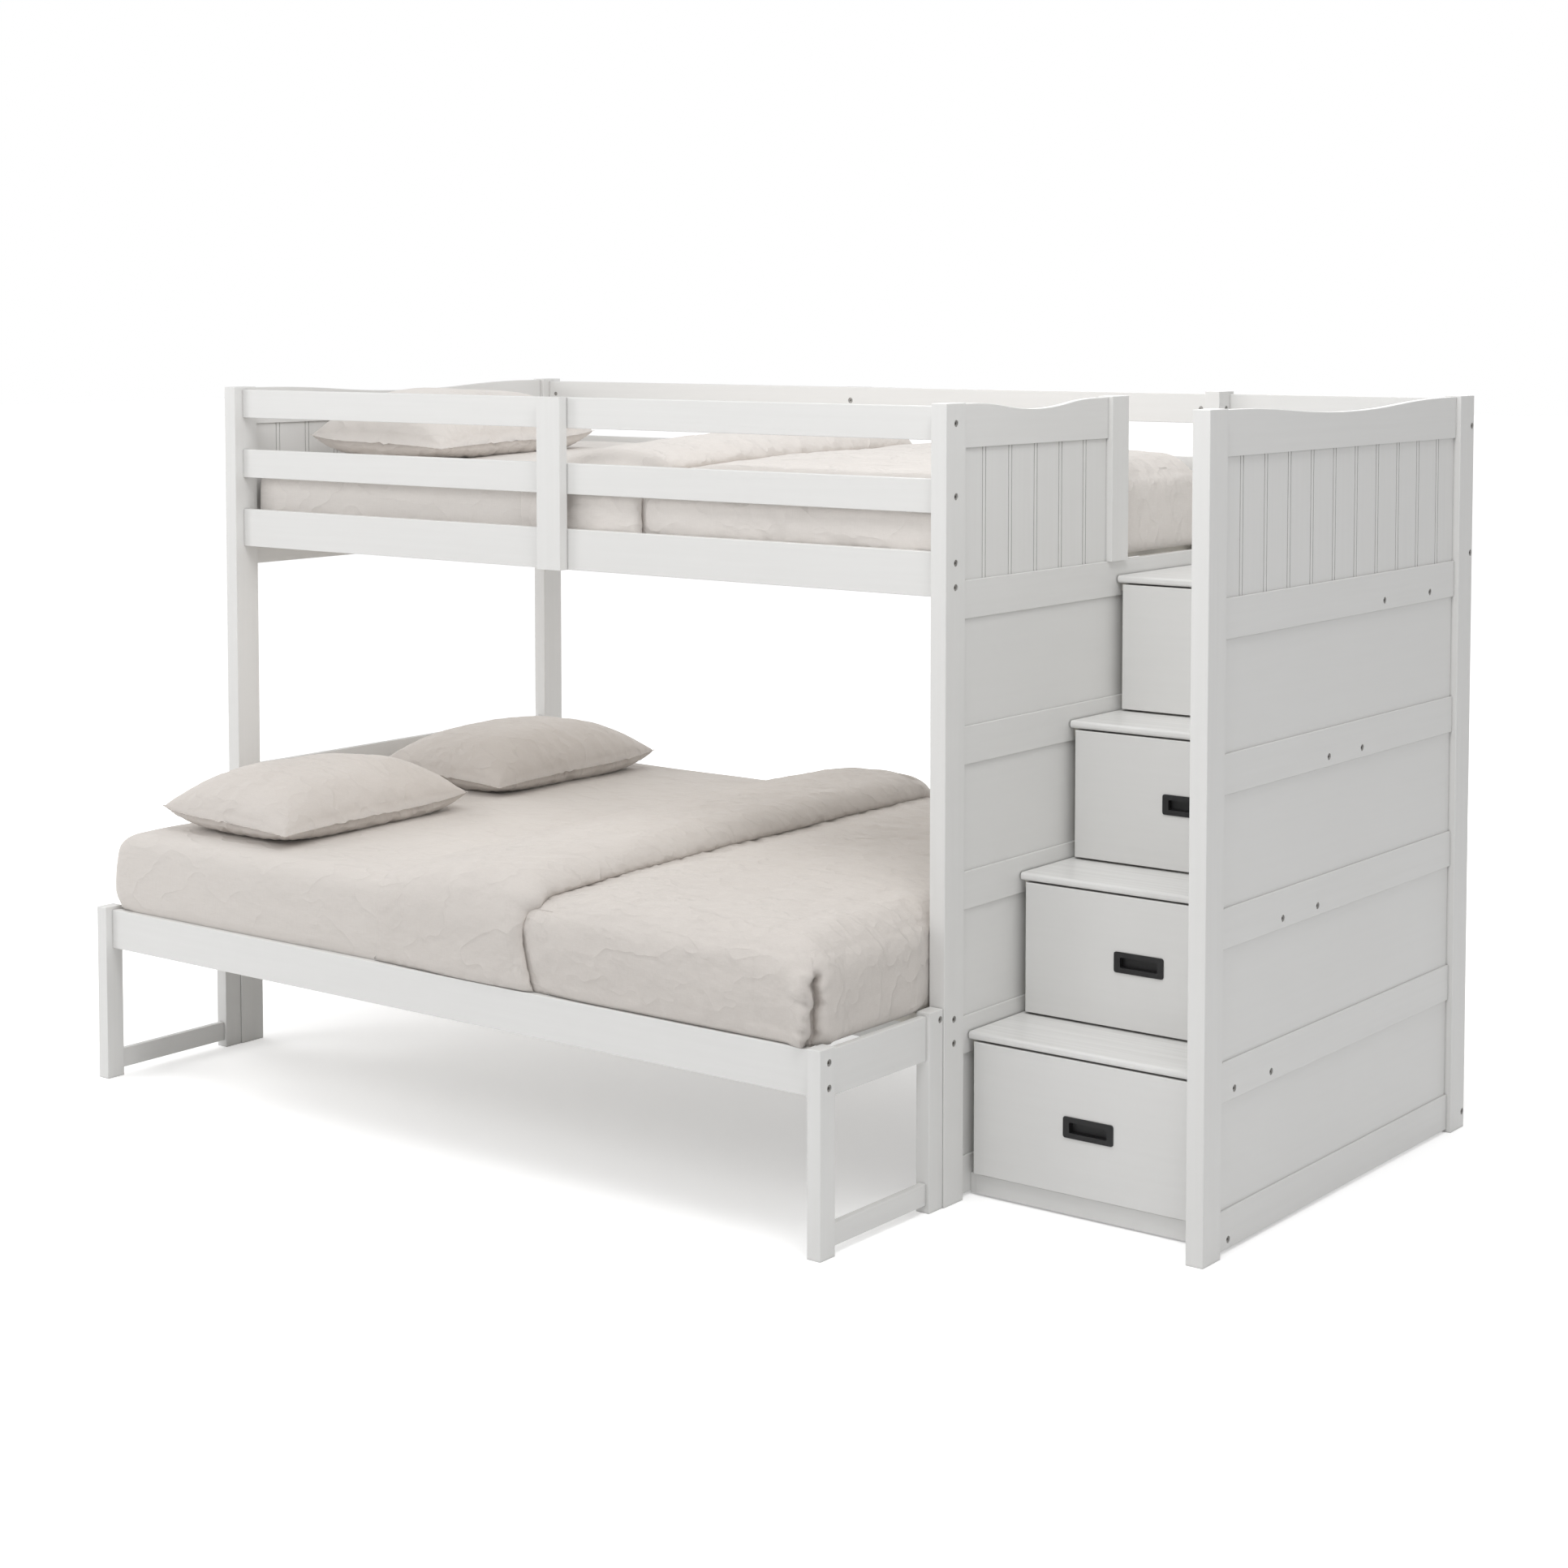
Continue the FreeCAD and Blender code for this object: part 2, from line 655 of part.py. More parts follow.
# Plinth under the first drawer, held off the base rails by a block at each end and bolted through both
front_x0 = inner_out + drawer_side_gap
front_x1 = outer_x - drawer_side_gap
plinth_y = noses[0] + plinth_setback
plinth_top = plinth_lift + plinth_height
plinth = board(front_x0, front_x1, plinth_y, plinth_y + plinth_thick, plinth_lift, plinth_top)
block_y0 = plinth_y + plinth_block_setback
block_y1 = block_y0 + plinth_block_depth
nodes["plinth"] = [
    eased(plinth, X),
    board(step_x0, front_x0, block_y0, block_y1, plinth_lift, plinth_top),
    board(front_x1, step_x1, block_y0, block_y1, plinth_lift, plinth_top),
]
plinth_bolt_y = plinth_y + plinth_thick / 2
plinth_bolt_z = plinth_lift + plinth_height / 2
plinth_reach = end_rail_thick - head_sink + front_x0 - step_x0 + plinth_bolt_reach
bolt(FreeCAD.Vector(inner_mid - end_rail_thick / 2, plinth_bolt_y, plinth_bolt_z), X, plinth_reach)
bolt(FreeCAD.Vector(outer_mid + end_rail_thick / 2, plinth_bolt_y, plinth_bolt_z), X * -1, plinth_reach)

# Rails across the back of the stairs, flush with the back of the posts
stair_rail_y = back_out - rail_thick
stair_rail_mid = back_out - rail_thick / 2
stair_rails = []
for z, height in (
    (guard_top - stair_guard_height, stair_guard_height),
    (side_rail_bottom, side_rail_height),
    (base_rail_lift, stair_base_rail_height),
):
    stair_rails.append(long_rail(inner_out, outer_x, stair_rail_y, z, height))
    middle = z + height / 2
    end_bolt(inner_x, inner_out, X, stair_rail_mid, middle, stair_rail_y, Y)
    end_bolt(outer_out, outer_x, X * -1, stair_rail_mid, middle, stair_rail_y, Y)
nodes["stair_back_rails"] = stair_rails

# Drawers: a front, a box of five boards grooved for the runners, and a sunk pull
box_x0 = front_x0 + box_inset
box_x1 = front_x1 - box_inset
pull_x = (front_x0 + front_x1) / 2
box_depth = top_tread_depth - front_setback - front_thick - box_back_gap


def rounded_slab(width, height, y0, y1, x_mid, z_mid, corner):
    half_width = width / 2
    half_height = height / 2
    slab = board(x_mid - half_width, x_mid + half_width, y0, y1, z_mid - half_height, z_mid + half_height)
    return eased(slab, Y, corner)


def pull(face_y, z_mid):
    """Sunk pull: a thin lip on the drawer's face and a cup behind it, open to the front."""
    lip = rounded_slab(pull_width, pull_height, face_y - pull_lip, face_y, pull_x, z_mid, pull_corner)
    cup_width = pull_width - 2 * pull_side_border
    cup_height = pull_height - 2 * pull_end_border
    cup = rounded_slab(cup_width, cup_height, face_y, face_y + pull_depth, pull_x, z_mid, pull_corner)
    hollow = rounded_slab(cup_width - 2 * pull_wall, cup_height - 2 * pull_wall, face_y - pull_lip,
                          face_y + pull_depth - pull_wall, pull_x, z_mid, pull_corner - pull_wall)
    pocket = rounded_slab(cup_width + 2 * pull_play, cup_height + 2 * pull_play, face_y,
                          face_y + pull_depth + pull_play, pull_x, z_mid, pull_corner)
    return one_solid(lip.fuse(cup).cut(hollow)), pocket


def drawer_box(y0, z0, z1, runner_z):
    """Two grooved sides, an inner front, a back and a bottom let into all four."""
    y1 = y0 + box_depth
    in_x0 = box_x0 + box_side_thick
    in_x1 = box_x1 - box_side_thick
    bottom_z = z0 + box_bottom_lift
    bottom = board(in_x0 - box_bottom_let_in, in_x1 + box_bottom_let_in,
                   y0 + box_side_thick - box_bottom_let_in, y1 - box_side_thick + box_bottom_let_in,
                   bottom_z, bottom_z + box_bottom_thick)
    groove_z0 = runner_z - runner_play
    groove_z1 = runner_z + runner_height + runner_play
    bite = runner_bite + runner_play
    left_groove = board(box_x0, box_x0 + bite, y0, y1, groove_z0, groove_z1)
    right_groove = board(box_x1 - bite, box_x1, y0, y1, groove_z0, groove_z1)
    left_side = board(box_x0, in_x0, y0, y1, z0, z1)
    right_side = board(in_x1, box_x1, y0, y1, z0, z1)
    inner_front = board(in_x0, in_x1, y0, y0 + box_side_thick, z0, z1)
    back = board(in_x0, in_x1, y1 - box_side_thick, y1, z0, z1)
    return [
        fitted(left_side, [left_groove, bottom]),
        fitted(right_side, [right_groove, bottom]),
        fitted(inner_front, [bottom]),
        fitted(back, [bottom]),
        bottom,
    ]


runners = []
for step in range(step_count):
    name = f"drawer_{step + 1}"
    face_y = noses[step] + front_setback
    z0 = tread_tops[step - 1] + drawer_floor_gap if step else plinth_top + drawer_plinth_gap
    z1 = tread_tops[step] - tread_thick - drawer_head_gap
    handle, pocket = pull(face_y, (z0 + z1) / 2)
    front = board(front_x0, front_x1, face_y, front_backs[step], z0, z1)
    rim = [edge for edge in front.Edges if edge.BoundBox.YMax - face_y < edge_round]
    nodes[f"{name}_front"] = [fitted(front.makeFillet(edge_round, rim), [pocket])]
    nodes[f"{name}_pull"] = [handle]
    runner_z = z0 + runner_lift
    nodes[f"{name}_box"] = drawer_box(front_backs[step], z0 + box_lift, z1 - box_drop, runner_z)
    y0 = front_backs[step] + runner_front_gap
    y1 = front_backs[step] + box_depth - runner_back_gap
    runners.append(board(step_x0, box_x0 + runner_bite, y0, y1, runner_z, runner_z + runner_height))
    runners.append(board(box_x1 - runner_bite, step_x1, y0, y1, runner_z, runner_z + runner_height))
nodes["drawer_runners"] = runners

# Every wooden piece is drilled for the bolts and nuts that cross it
for name, solids in nodes.items():
    drilled = []
    for solid in solids:
        near = [bore for bore in bores if bore.BoundBox.intersect(solid.BoundBox)]
        drilled.append(fitted(solid, near) if near else solid)
    nodes[name] = drilled
nodes["connector_bolts"] = bolts
nodes["barrel_nuts"] = nuts


# Bedding: crowned mattresses with rounded edges, duvets folded back at the head, soft pillows
def bed_outline(x, y0, y1, z0, z1, corner, crown):
    """One outline across a bed: flat below, upright sides, rounded shoulders and a crowned top."""
    lean = corner * (1 - math.sqrt(0.5))

    def at(y, z):
        return FreeCAD.Vector(x, y, z)

    middle = (y0 + y1) / 2
    return Part.Wire([
        Part.makeLine(at(y0, z0), at(y1, z0)),
        Part.makeLine(at(y1, z0), at(y1, z1 - corner)),
        Part.Arc(at(y1, z1 - corner), at(y1 - lean, z1 - lean), at(y1 - corner, z1)).toShape(),
        Part.Arc(at(y1 - corner, z1), at(middle, z1 + crown), at(y0 + corner, z1)).toShape(),
        Part.Arc(at(y0 + corner, z1), at(y0 + lean, z1 - lean), at(y0, z1 - corner)).toShape(),
        Part.makeLine(at(y0, z1 - corner), at(y0, z0)),
    ])


def mattress(y0, y1, z0, thick, gap=0):
    """A mattress from the head of the bed; a gap swells it, to cut room for it out of its covers."""
    x0 = left_in + mattress_head_gap - gap
    x1 = left_in + mattress_head_gap + full_mattress_length + gap
    rows = [(x0 + place * mattress_corner, draw) for place, draw in mattress_end_shares]
    rows += [(x1 - place * mattress_corner, draw) for place, draw in reversed(mattress_end_shares)]
    outlines = []
    for x, draw in rows:
        inset = draw * mattress_corner - gap
        outlines.append(bed_outline(x, y0 + inset, y1 - inset, z0, z0 + thick - inset,
                                    mattress_corner, mattress_crown))
    return Part.makeLoft(outlines, True, True)


def duvet(y0, y1, z0, thick, crease, fold_width):
    """A duvet over the sides and foot of a mattress, its head end folded back on itself."""
    head = left_in + mattress_head_gap
    hem = head + crease + fold_width
    foot = head + full_mattress_length + duvet_end
    doubled = (duvet_thick + fold_thick, duvet_side + fold_side)
    single = (duvet_thick, duvet_side)
    rows = [
        (head + crease, doubled[0] * crease_share, doubled[1] * crease_share),
        (head + crease + fold_thick, *doubled),
        (hem - fold_thick / 2, *doubled),
        (hem, *single),
    ]
    for place, draw in reversed(mattress_end_shares):
        inset = draw * mattress_corner
        rows.append((foot - place * mattress_corner, single[0] - inset, single[1] - inset))
    outlines = []
    for x, rise, swell in rows:
        outlines.append(bed_outline(x, y0 - swell, y1 + swell, z0 + duvet_hem_lift, z0 + thick + rise,
                                    mattress_corner + duvet_side, mattress_crown))
    return one_solid(Part.makeLoft(outlines, True, True).cut(mattress(y0, y1, z0, thick, soft_gap)))


def pillow(x_mid, y_mid, top_z, turn, below):
    """A pillow with pointed seams and drawn-in sides, flattened where it lies on the mattress."""
    seam = top_z - pillow_sink + pillow_seam_share * pillow_thick
    outlines = []
    for along, wide, full in pillow_shares:
        y = y_mid + along * pillow_length / 2
        half = wide * pillow_width / 2
        rise = full * pillow_thick * (1 - pillow_seam_share)
        fall = full * pillow_thick * pillow_seam_share
        low = FreeCAD.Vector(x_mid - half, y, seam)
        high = FreeCAD.Vector(x_mid + half, y, seam)
        over = Part.Arc(low, FreeCAD.Vector(x_mid, y, seam + rise), high).toShape()
        under = Part.Arc(high, FreeCAD.Vector(x_mid, y, seam - fall), low).toShape()
        outlines.append(Part.Wire([over, under]))
    shape = Part.makeLoft(outlines, True, True)
    shape.rotate(FreeCAD.Vector(x_mid, y_mid, seam), Z, turn)
    return one_solid(shape.cut(below))


full_y0 = extension_y + extension_rail_setback + full_front_gap
full_y1 = full_y0 + full_mattress_width
full_z0 = lower_rail_top + soft_gap
twin_y0 = rail_in + twin_side_gap
twin_y1 = twin_y0 + twin_mattress_width
twin_z0 = upper_slat_z + slat_thick + soft_gap
full_bed = (full_y0, full_y1, full_z0, full_mattress_thick)
twin_bed = (twin_y0, twin_y1, twin_z0, twin_mattress_thick)
pillow_line = left_in + mattress_head_gap + pillow_width / 2
full_top = full_z0 + full_mattress_thick + mattress_crown
twin_top = twin_z0 + twin_mattress_thick + mattress_crown
full_room = mattress(*full_bed, soft_gap)
twin_room = mattress(*twin_bed, soft_gap)
nodes["lower_mattress"] = [mattress(*full_bed)]
nodes["lower_duvet"] = [duvet(*full_bed, full_crease, full_fold_width)]
full_mid = (full_y0 + full_y1) / 2
aside = (pillow_length + pillow_middle_gap) / 2
nodes["lower_front_pillow"] = [
    pillow(pillow_line + front_pillow_head, full_mid - aside, full_top, pillow_turn, full_room)
]
nodes["lower_back_pillow"] = [
    pillow(pillow_line + back_pillow_head, full_mid + aside, full_top, 0, full_room)
]
nodes["upper_mattress"] = [mattress(*twin_bed)]
nodes["upper_duvet"] = [duvet(*twin_bed, twin_crease, twin_fold_width)]
upper_pillow_y = twin_y0 + upper_pillow_side + pillow_length / 2
nodes["upper_pillow"] = [
    pillow(pillow_line + upper_pillow_head, upper_pillow_y, twin_top, 0, twin_room)
]

os.makedirs("parts", exist_ok=True)
for name, solids in nodes.items():
    shape = solids[0] if len(solids) == 1 else Part.makeCompound(solids)
    shape.exportStep(f"parts/{name}.step")
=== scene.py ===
import bpy, math
from mathutils import Matrix, Vector, noise


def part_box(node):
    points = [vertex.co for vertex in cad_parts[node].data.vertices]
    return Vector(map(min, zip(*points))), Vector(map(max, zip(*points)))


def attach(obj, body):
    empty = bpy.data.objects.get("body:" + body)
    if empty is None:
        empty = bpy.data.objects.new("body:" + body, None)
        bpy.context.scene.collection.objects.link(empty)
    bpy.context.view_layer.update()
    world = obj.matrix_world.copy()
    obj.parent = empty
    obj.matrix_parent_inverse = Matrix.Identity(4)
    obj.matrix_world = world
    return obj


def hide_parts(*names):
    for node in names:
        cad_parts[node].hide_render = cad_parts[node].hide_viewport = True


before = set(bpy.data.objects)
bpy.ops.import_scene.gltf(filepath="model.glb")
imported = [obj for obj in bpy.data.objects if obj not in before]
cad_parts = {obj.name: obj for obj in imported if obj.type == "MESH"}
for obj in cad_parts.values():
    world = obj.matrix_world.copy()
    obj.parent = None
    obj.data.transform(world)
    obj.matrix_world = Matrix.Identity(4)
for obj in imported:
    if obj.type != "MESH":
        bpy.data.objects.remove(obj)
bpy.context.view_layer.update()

# Posts, rails and panels
# Solid wood posts and rails with board panels let into their grooves, machined with softly
# broken edges, sprayed with satin white lacquer and bolted together. The grain of each board
# still shows faintly through the coat, along the board's length.


class Socket:
    """One output of a finish's nodes. Sums written with it add the nodes that work them out."""

    def __init__(self, tree, out):
        self.tree, self.out = tree, out

    def node(self, kind, settings=None, values=None, out=0):
        made = self.tree.nodes.new("ShaderNode" + kind)
        for name, value in (settings or {}).items():
            setattr(made, name, value)
        for key, value in (values or {}).items():
            if isinstance(value, Socket):
                self.tree.links.new(value.out, made.inputs[key])
            else:
                made.inputs[key].default_value = value
        return Socket(self.tree, made.outputs[out])

    def math(self, operation, a, b):
        return self.node("Math", {"operation": operation}, {0: a, 1: b})

    def __add__(self, other):
        return self.math("ADD", self, other)

    def __sub__(self, other):
        return self.math("SUBTRACT", self, other)

    def __rsub__(self, other):
        return self.math("SUBTRACT", other, self)

    def __mul__(self, other):
        return self.math("MULTIPLY", self, other)

    def __pow__(self, other):
        return self.math("POWER", self, other)

    __radd__, __rmul__ = __add__, __mul__

    def held(self, low, high):
        """0 up to low, 1 from high on, and an even rise between them."""
        return self.node("MapRange", {}, {"Value": self, "From Min": low, "From Max": high})

    def stretched(self, x, y, z):
        return self.node("VectorMath", {"operation": "MULTIPLY"}, {0: self, 1: (x, y, z)})

    def noise(self, scale, detail=3.0):
        return self.node("TexNoise", {}, {"Vector": self, "Scale": scale, "Detail": detail})

    def tint(self, first, second):
        """The first colour where this is 0, the second where it is 1."""
        first, second = [c if isinstance(c, Socket) else (*c, 1.0) for c in (first, second)]
        return self.node("Mix", {"data_type": "RGBA"}, {0: self, 6: first, 7: second}, out=2)

    def painted_shade_mask(self, reach):
        """How far the surface is shut in by what stands within reach: 0 in the open, 1 in a nook. It masks the
        painted shade that darkens the lacquer's joints.
        """
        return 1.0 - self.node("AmbientOcclusion", {"samples": 8}, {"Distance": reach}, out=1)

    def relief(self, depth, strength=1.0):
        return self.node("Bump", {}, {"Strength": strength, "Distance": depth, "Height": self})

    def feed(self, shader, name):
        self.tree.links.new(self.out, shader.inputs[name])


def new_finish(name):
    """An empty finish: its material, its shader and the place on the piece, in metres."""
    material = bpy.data.materials.new(name)
    material.use_nodes = True
    tree = material.node_tree
    place = Socket(tree, tree.nodes.new("ShaderNodeTexCoord").outputs["Object"])
    return material, tree.nodes["Principled BSDF"], place


def coat(names, material):
    for name in names:
        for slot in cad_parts[name].material_slots:
            slot.material = material


grain_along, grain_across, pores_per_grain = 3.0, 95.0, 3.2
# The painted shade in joints, grooves and corners: how far the occlusion looks, how much it darkens, and the
# grey it darkens to.
painted_shade_reach, painted_shade_depth, painted_shade_grey = 0.007, 0.6, (0.33, 0.325, 0.315)


def lacquer(name, along, light, deep, streaks):
    """Sprayed lacquer over wood whose grain runs along x, y or z, with painted shade darkening its joints,
    grooves and corners.
    """
    material, shader, place = new_finish(name)
    run = [grain_along if axis == along else grain_across for axis in "xyz"]
    grain = place.stretched(*run).noise(1.0, 5.0)
    pores = place.stretched(*(pores_per_grain * step for step in run)).noise(1.0, 2.0)
    clouds = place.noise(3.5, 2.0)
    peel = place.noise(380.0, 1.0)
    coloured = (grain.held(0.36, 0.66) * streaks + clouds * (1 - streaks)).tint(light, deep)
    # Painted shade: the colour goes towards a grey where the surface is shut in, in joints, grooves and corners.
    painted_shade = place.painted_shade_mask(painted_shade_reach).held(0.15, 0.75) * painted_shade_depth
    painted_shade.tint(coloured, painted_shade_grey).feed(shader, "Base Color")
    (0.27 + clouds * 0.12 + grain * 0.10).feed(shader, "Roughness")
    (grain * 0.5 + pores * 0.3 + peel * 0.2).relief(0.0004, 0.2).feed(shader, "Normal")
    shader.inputs["Coat Weight"].default_value = 0.12
    shader.inputs["Coat Roughness"].default_value = 0.22
    return material


white, white_shade = (0.79, 0.787, 0.775), (0.765, 0.761, 0.748)
posts = ["left_front_post", "left_back_post", "inner_front_post", "inner_back_post", "outer_front_post",
         "outer_back_post", "gate_post", "guard_uprights", "extension_legs"]
bead_panels = ["left_bead_panel", "inner_bead_panel", "outer_bead_panel"]
long_rails = ["upper_side_rails", "front_guard_rails", "back_guard_rails", "lower_side_rails",
              "extension_front_rail", "stair_back_rails"]
end_rails = ["left_top_rail", "inner_top_rail", "outer_top_rail", "left_cross_rails", "inner_cross_rails",
             "outer_cross_rails", "extension_end_rails"]
flat_panels = ["inner_flat_panels", "outer_flat_panels"]
coat(posts + bead_panels, lacquer("lacquer_upright", "z", white, white_shade, streaks=0.5))
coat(long_rails, lacquer("lacquer_lengthways", "x", white, white_shade, streaks=0.5))
coat(end_rails, lacquer("lacquer_crossways", "y", white, white_shade, streaks=0.5))
coat(flat_panels, lacquer("lacquer_on_board", "y", white, white_shade, streaks=0.2))

# Slats, ledges and other inside wood
# Plain softwood slats on ledges screwed to the rails, corner blocks, drawer boxes and runners.
# They get one thin coat of white paint, so the wood's grain and its darker lines come through.

paint, paint_worn = (0.78, 0.765, 0.72), (0.64, 0.60, 0.53)
rough_along, rough_across, lines_per_grain = 2.0, 60.0, 2.5


def thin_paint(name, along, fronts=None):
    """Thin paint over wood whose grain runs along x, y or z, or another way on front and back faces."""
    material, shader, place = new_finish(name)
    way_out = place.node("TexCoord", out=1)
    faces_front = place.node("SeparateXYZ", {}, {0: way_out}, out=1) ** 2.0
    grain, lines = 0.0, 0.0
    for way, part in ((along, 1.0 - faces_front), (fronts or along, faces_front)):
        run = [rough_along if axis == way else rough_across for axis in "xyz"]
        close_run = [lines_per_grain * step for step in run]
        grain = grain + part * place.stretched(*run).noise(1.0, 6.0)
        lines = lines + part * place.stretched(*close_run).noise(1.0, 3.0).held(0.52, 0.70)
    patches = place.noise(9.0, 3.0)
    worn = grain.held(0.3, 0.7) * 0.7 + lines * 0.3
    worn.tint(paint, paint_worn).feed(shader, "Base Color")
    (0.48 + patches * 0.2).feed(shader, "Roughness")
    (grain * 0.6 + lines * 0.4).relief(0.0008, 0.5).feed(shader, "Normal")
    return material


coat(["upper_slats", "lower_slats", "extension_slats", "tread_cleats", "drawer_runners", "corner_blocks"],
     thin_paint("thin_paint_crossways", "y"))
coat(["slat_ledges"], thin_paint("thin_paint_lengthways", "x"))

# Stairs: treads, plinth
# Edge-glued treads with a rounded nose, screwed down on cleats; the plinth closes the space
# under the lowest drawer. The lacquer on the treads is thin enough to show long streaks.

# The treads' white is lighter than the frame's white: painted light from above on the treads.
tread_white_painted_lighter, tread_streak = (0.84, 0.837, 0.825), (0.74, 0.736, 0.722)
coat(["tread_1", "tread_2", "tread_3", "tread_4"],
     lacquer("tread_lacquer", "x", tread_white_painted_lighter, tread_streak, streaks=0.85))
coat(["plinth"], lacquer("lacquer_plinth", "x", white, white_shade, streaks=0.4))

# Drawers
# Lacquered board fronts on five-board boxes of thinly painted wood. Each front has one sunk
# pull, a black moulding with a thin flange, a fine sparked surface and faint smears.

drawers = ["drawer_1", "drawer_2", "drawer_3", "drawer_4"]
coat([name + "_front" for name in drawers],
     lacquer("lacquer_drawer_front", "x", white, white_shade, streaks=0.3))
coat([name + "_box" for name in drawers], thin_paint("thin_paint_boxes", "y", fronts="x"))

pull_black, pull_smear = (0.010, 0.010, 0.011), (0.022, 0.022, 0.023)
material, shader, place = new_finish("black_moulding")
spark = place.noise(1500.0, 2.0)
smears = place.noise(26.0, 3.0)
(spark * 0.5 + smears * 0.5).held(0.35, 0.75).tint(pull_black, pull_smear).feed(shader, "Base Color")
(0.36 + smears * 0.18).feed(shader, "Roughness")
spark.relief(0.0002, 0.4).feed(shader, "Normal")
coat([name + "_pull" for name in drawers], material)

# Bolts and barrel nuts
# Zinc-plated steel bolts with hexagon sockets, sunk in the posts and rails, and the barrel
# nuts that they pull on. The plating is dull, patchy and finely turned.

zinc_dark, zinc_light = (0.30, 0.29, 0.275), (0.48, 0.47, 0.455)
material, shader, place = new_finish("zinc_steel")
patches = place.noise(240.0, 4.0)
turning = place.stretched(40.0, 2600.0, 2600.0).noise(1.0, 2.0)
patches.tint(zinc_dark, zinc_light).feed(shader, "Base Color")
(0.30 + patches * 0.25).feed(shader, "Roughness")
turning.relief(0.0001, 0.4).feed(shader, "Normal")
shader.inputs["Metallic"].default_value = 0.9
coat(["connector_bolts", "barrel_nuts"], material)

# Mattresses
# Foam mattresses in tight fitted sheets of washed greige linen. Each lies loose on its slats,
# with rounded edges, a top that rises towards the back and slight pulls in the sheet.

thread_along, thread_across = 45.0, 820.0


def linen(name, light, deep):
    """Washed linen: threads of uneven thickness each way, soft crumples and fine creases."""
    material, shader, place = new_finish(name)
    lengthways = place.stretched(thread_along, thread_across, thread_across).noise(1.0, 2.0)
    crossways = place.stretched(thread_across, thread_along, thread_across).noise(1.0, 2.0)
    upright = place.stretched(thread_across, thread_across, thread_along).noise(1.0, 2.0)
    threads = (lengthways + crossways + upright) * (1 / 3)
    crumples = place.stretched(10.0, 16.0, 16.0).noise(1.0, 3.0)
    bends = place.stretched(7.0, 13.0, 11.0).noise(1.0, 2.0)
    creases = (1.0 - place.math("ABSOLUTE", bends * 2.0 - 1.0, 0.0)) ** 9.0
    clouds = place.noise(2.2, 2.0)
    (threads.held(0.38, 0.62) * 0.55 + clouds * 0.45).tint(light, deep).feed(shader, "Base Color")
    (0.80 + threads * 0.16).feed(shader, "Roughness")
    (threads * 0.05 + crumples * 0.75 + creases * 0.20).relief(0.016, 0.62).feed(shader, "Normal")
    shader.inputs["Sheen Weight"].default_value = 0.2
    shader.inputs["Sheen Roughness"].default_value = 0.45
    shader.inputs["Specular IOR Level"].default_value = 0.25
    return material


hair, no_length = 1e-6, 1e-9  # lengths too small to count, and to divide by


def limited(value):
    """A number held between 0 and 1."""
    return min(1.0, max(0.0, value))


def spread(start, end, pitch, fine_start=None, fine_end=None, edge=0.08):
    """Places from start to end, a pitch apart, closer within an edge of either end."""
    places = [start]
    while places[-1] < end - hair:
        here = places[-1]
        step = pitch
        if fine_start and here - start < edge:
            step = fine_start
        if fine_end and end - here < edge + pitch:
            step = fine_end
        places.append(min(end, here + step))
    return places


def block_skin(xs, ys, zs, sides):
    """Grid points and faces on the named sides of a block, each side an axis and an end."""
    grid, index, points, faces = (xs, ys, zs), {}, [], []
    for axis, end in sides:
        u, v = ((1, 2), (2, 0), (0, 1))[axis]
        for a in range(len(grid[u]) - 1):
            for b in range(len(grid[v]) - 1):
                ring = [(a, b), (a + 1, b), (a + 1, b + 1), (a, b + 1)]
                face = []
                for p, q in ring if end else reversed(ring):
                    key = [0, 0, 0]
                    key[axis], key[u], key[v] = end * (len(grid[axis]) - 1), p, q
                    key = tuple(key)
                    if key not in index:
                        index[key] = len(points)
                        points.append(Vector(grid[k][key[k]] for k in range(3)))
                    face.append(index[key])
                faces.append(face)
    return points, faces


def round_off(point, low, high, radius):
    """The point on a block's rounded skin that a point on its sharp skin goes to, and the way out.
    Upright edges are rounded less than the others."""
    core = Vector(min(max(p, l + radius), h - radius) for p, l, h in zip(point, low, high))
    way = point - core
    length = math.hypot((way.x ** 4 + way.y ** 4) ** 0.25, way.z)
    return core + way * (radius / max(length, no_length)), way.normalized()


def new_piece(name, points, faces, material, node):
    """A smooth soft piece of the bed that stands for a CAD node."""
    mesh = bpy.data.meshes.new(name)
    mesh.from_pydata([tuple(p) for p in points], [], faces)
    mesh.polygons.foreach_set("use_smooth", [True] * len(mesh.polygons))
    mesh.materials.append(material)
    piece = bpy.data.objects.new(name, mesh)
    bpy.context.collection.objects.link(piece)
    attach(piece, "bed")
    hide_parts(node)
    return piece


def settle(piece, held, pressure, growth, cap, pinned, frames=20):
    """Lets the cloth of a stuffed piece swell and crease, moving no point further than the cap.
    The held points stay, and the others are pinned by a share."""
    before = [v.co.copy() for v in piece.data.vertices]
    group = piece.vertex_groups.new(name="held")
    group.add(range(len(before)), pinned, "REPLACE")
    group.add(held, 1.0, "REPLACE")
    cloth = piece.modifiers.new("cloth", "CLOTH")
    cloth.settings.quality = 5
    cloth.settings.mass = 0.3
    cloth.settings.tension_stiffness = 15
    cloth.settings.compression_stiffness = 15
    cloth.settings.bending_stiffness = 0.8
    cloth.settings.use_pressure = True
    cloth.settings.uniform_pressure_force = pressure
    cloth.settings.shrink_min = -growth
    cloth.settings.vertex_group_mass = "held"
    cloth.settings.effector_weights.gravity = 0
    cloth.collision_settings.use_collision = False
    cloth.point_cache.frame_end = frames
    for number in range(1, frames + 1):
        bpy.context.scene.frame_set(number)
    after = piece.evaluated_get(bpy.context.evaluated_depsgraph_get()).data.vertices
    moved = [v.co.copy() for v in after]
    piece.modifiers.remove(cloth)
    piece.vertex_groups.remove(group)
    for vertex, old, new in zip(piece.data.vertices, before, moved):
        way = new - old
        vertex.co = old + way * min(1.0, cap / max(way.length, no_length))
    bpy.context.scene.frame_set(1)


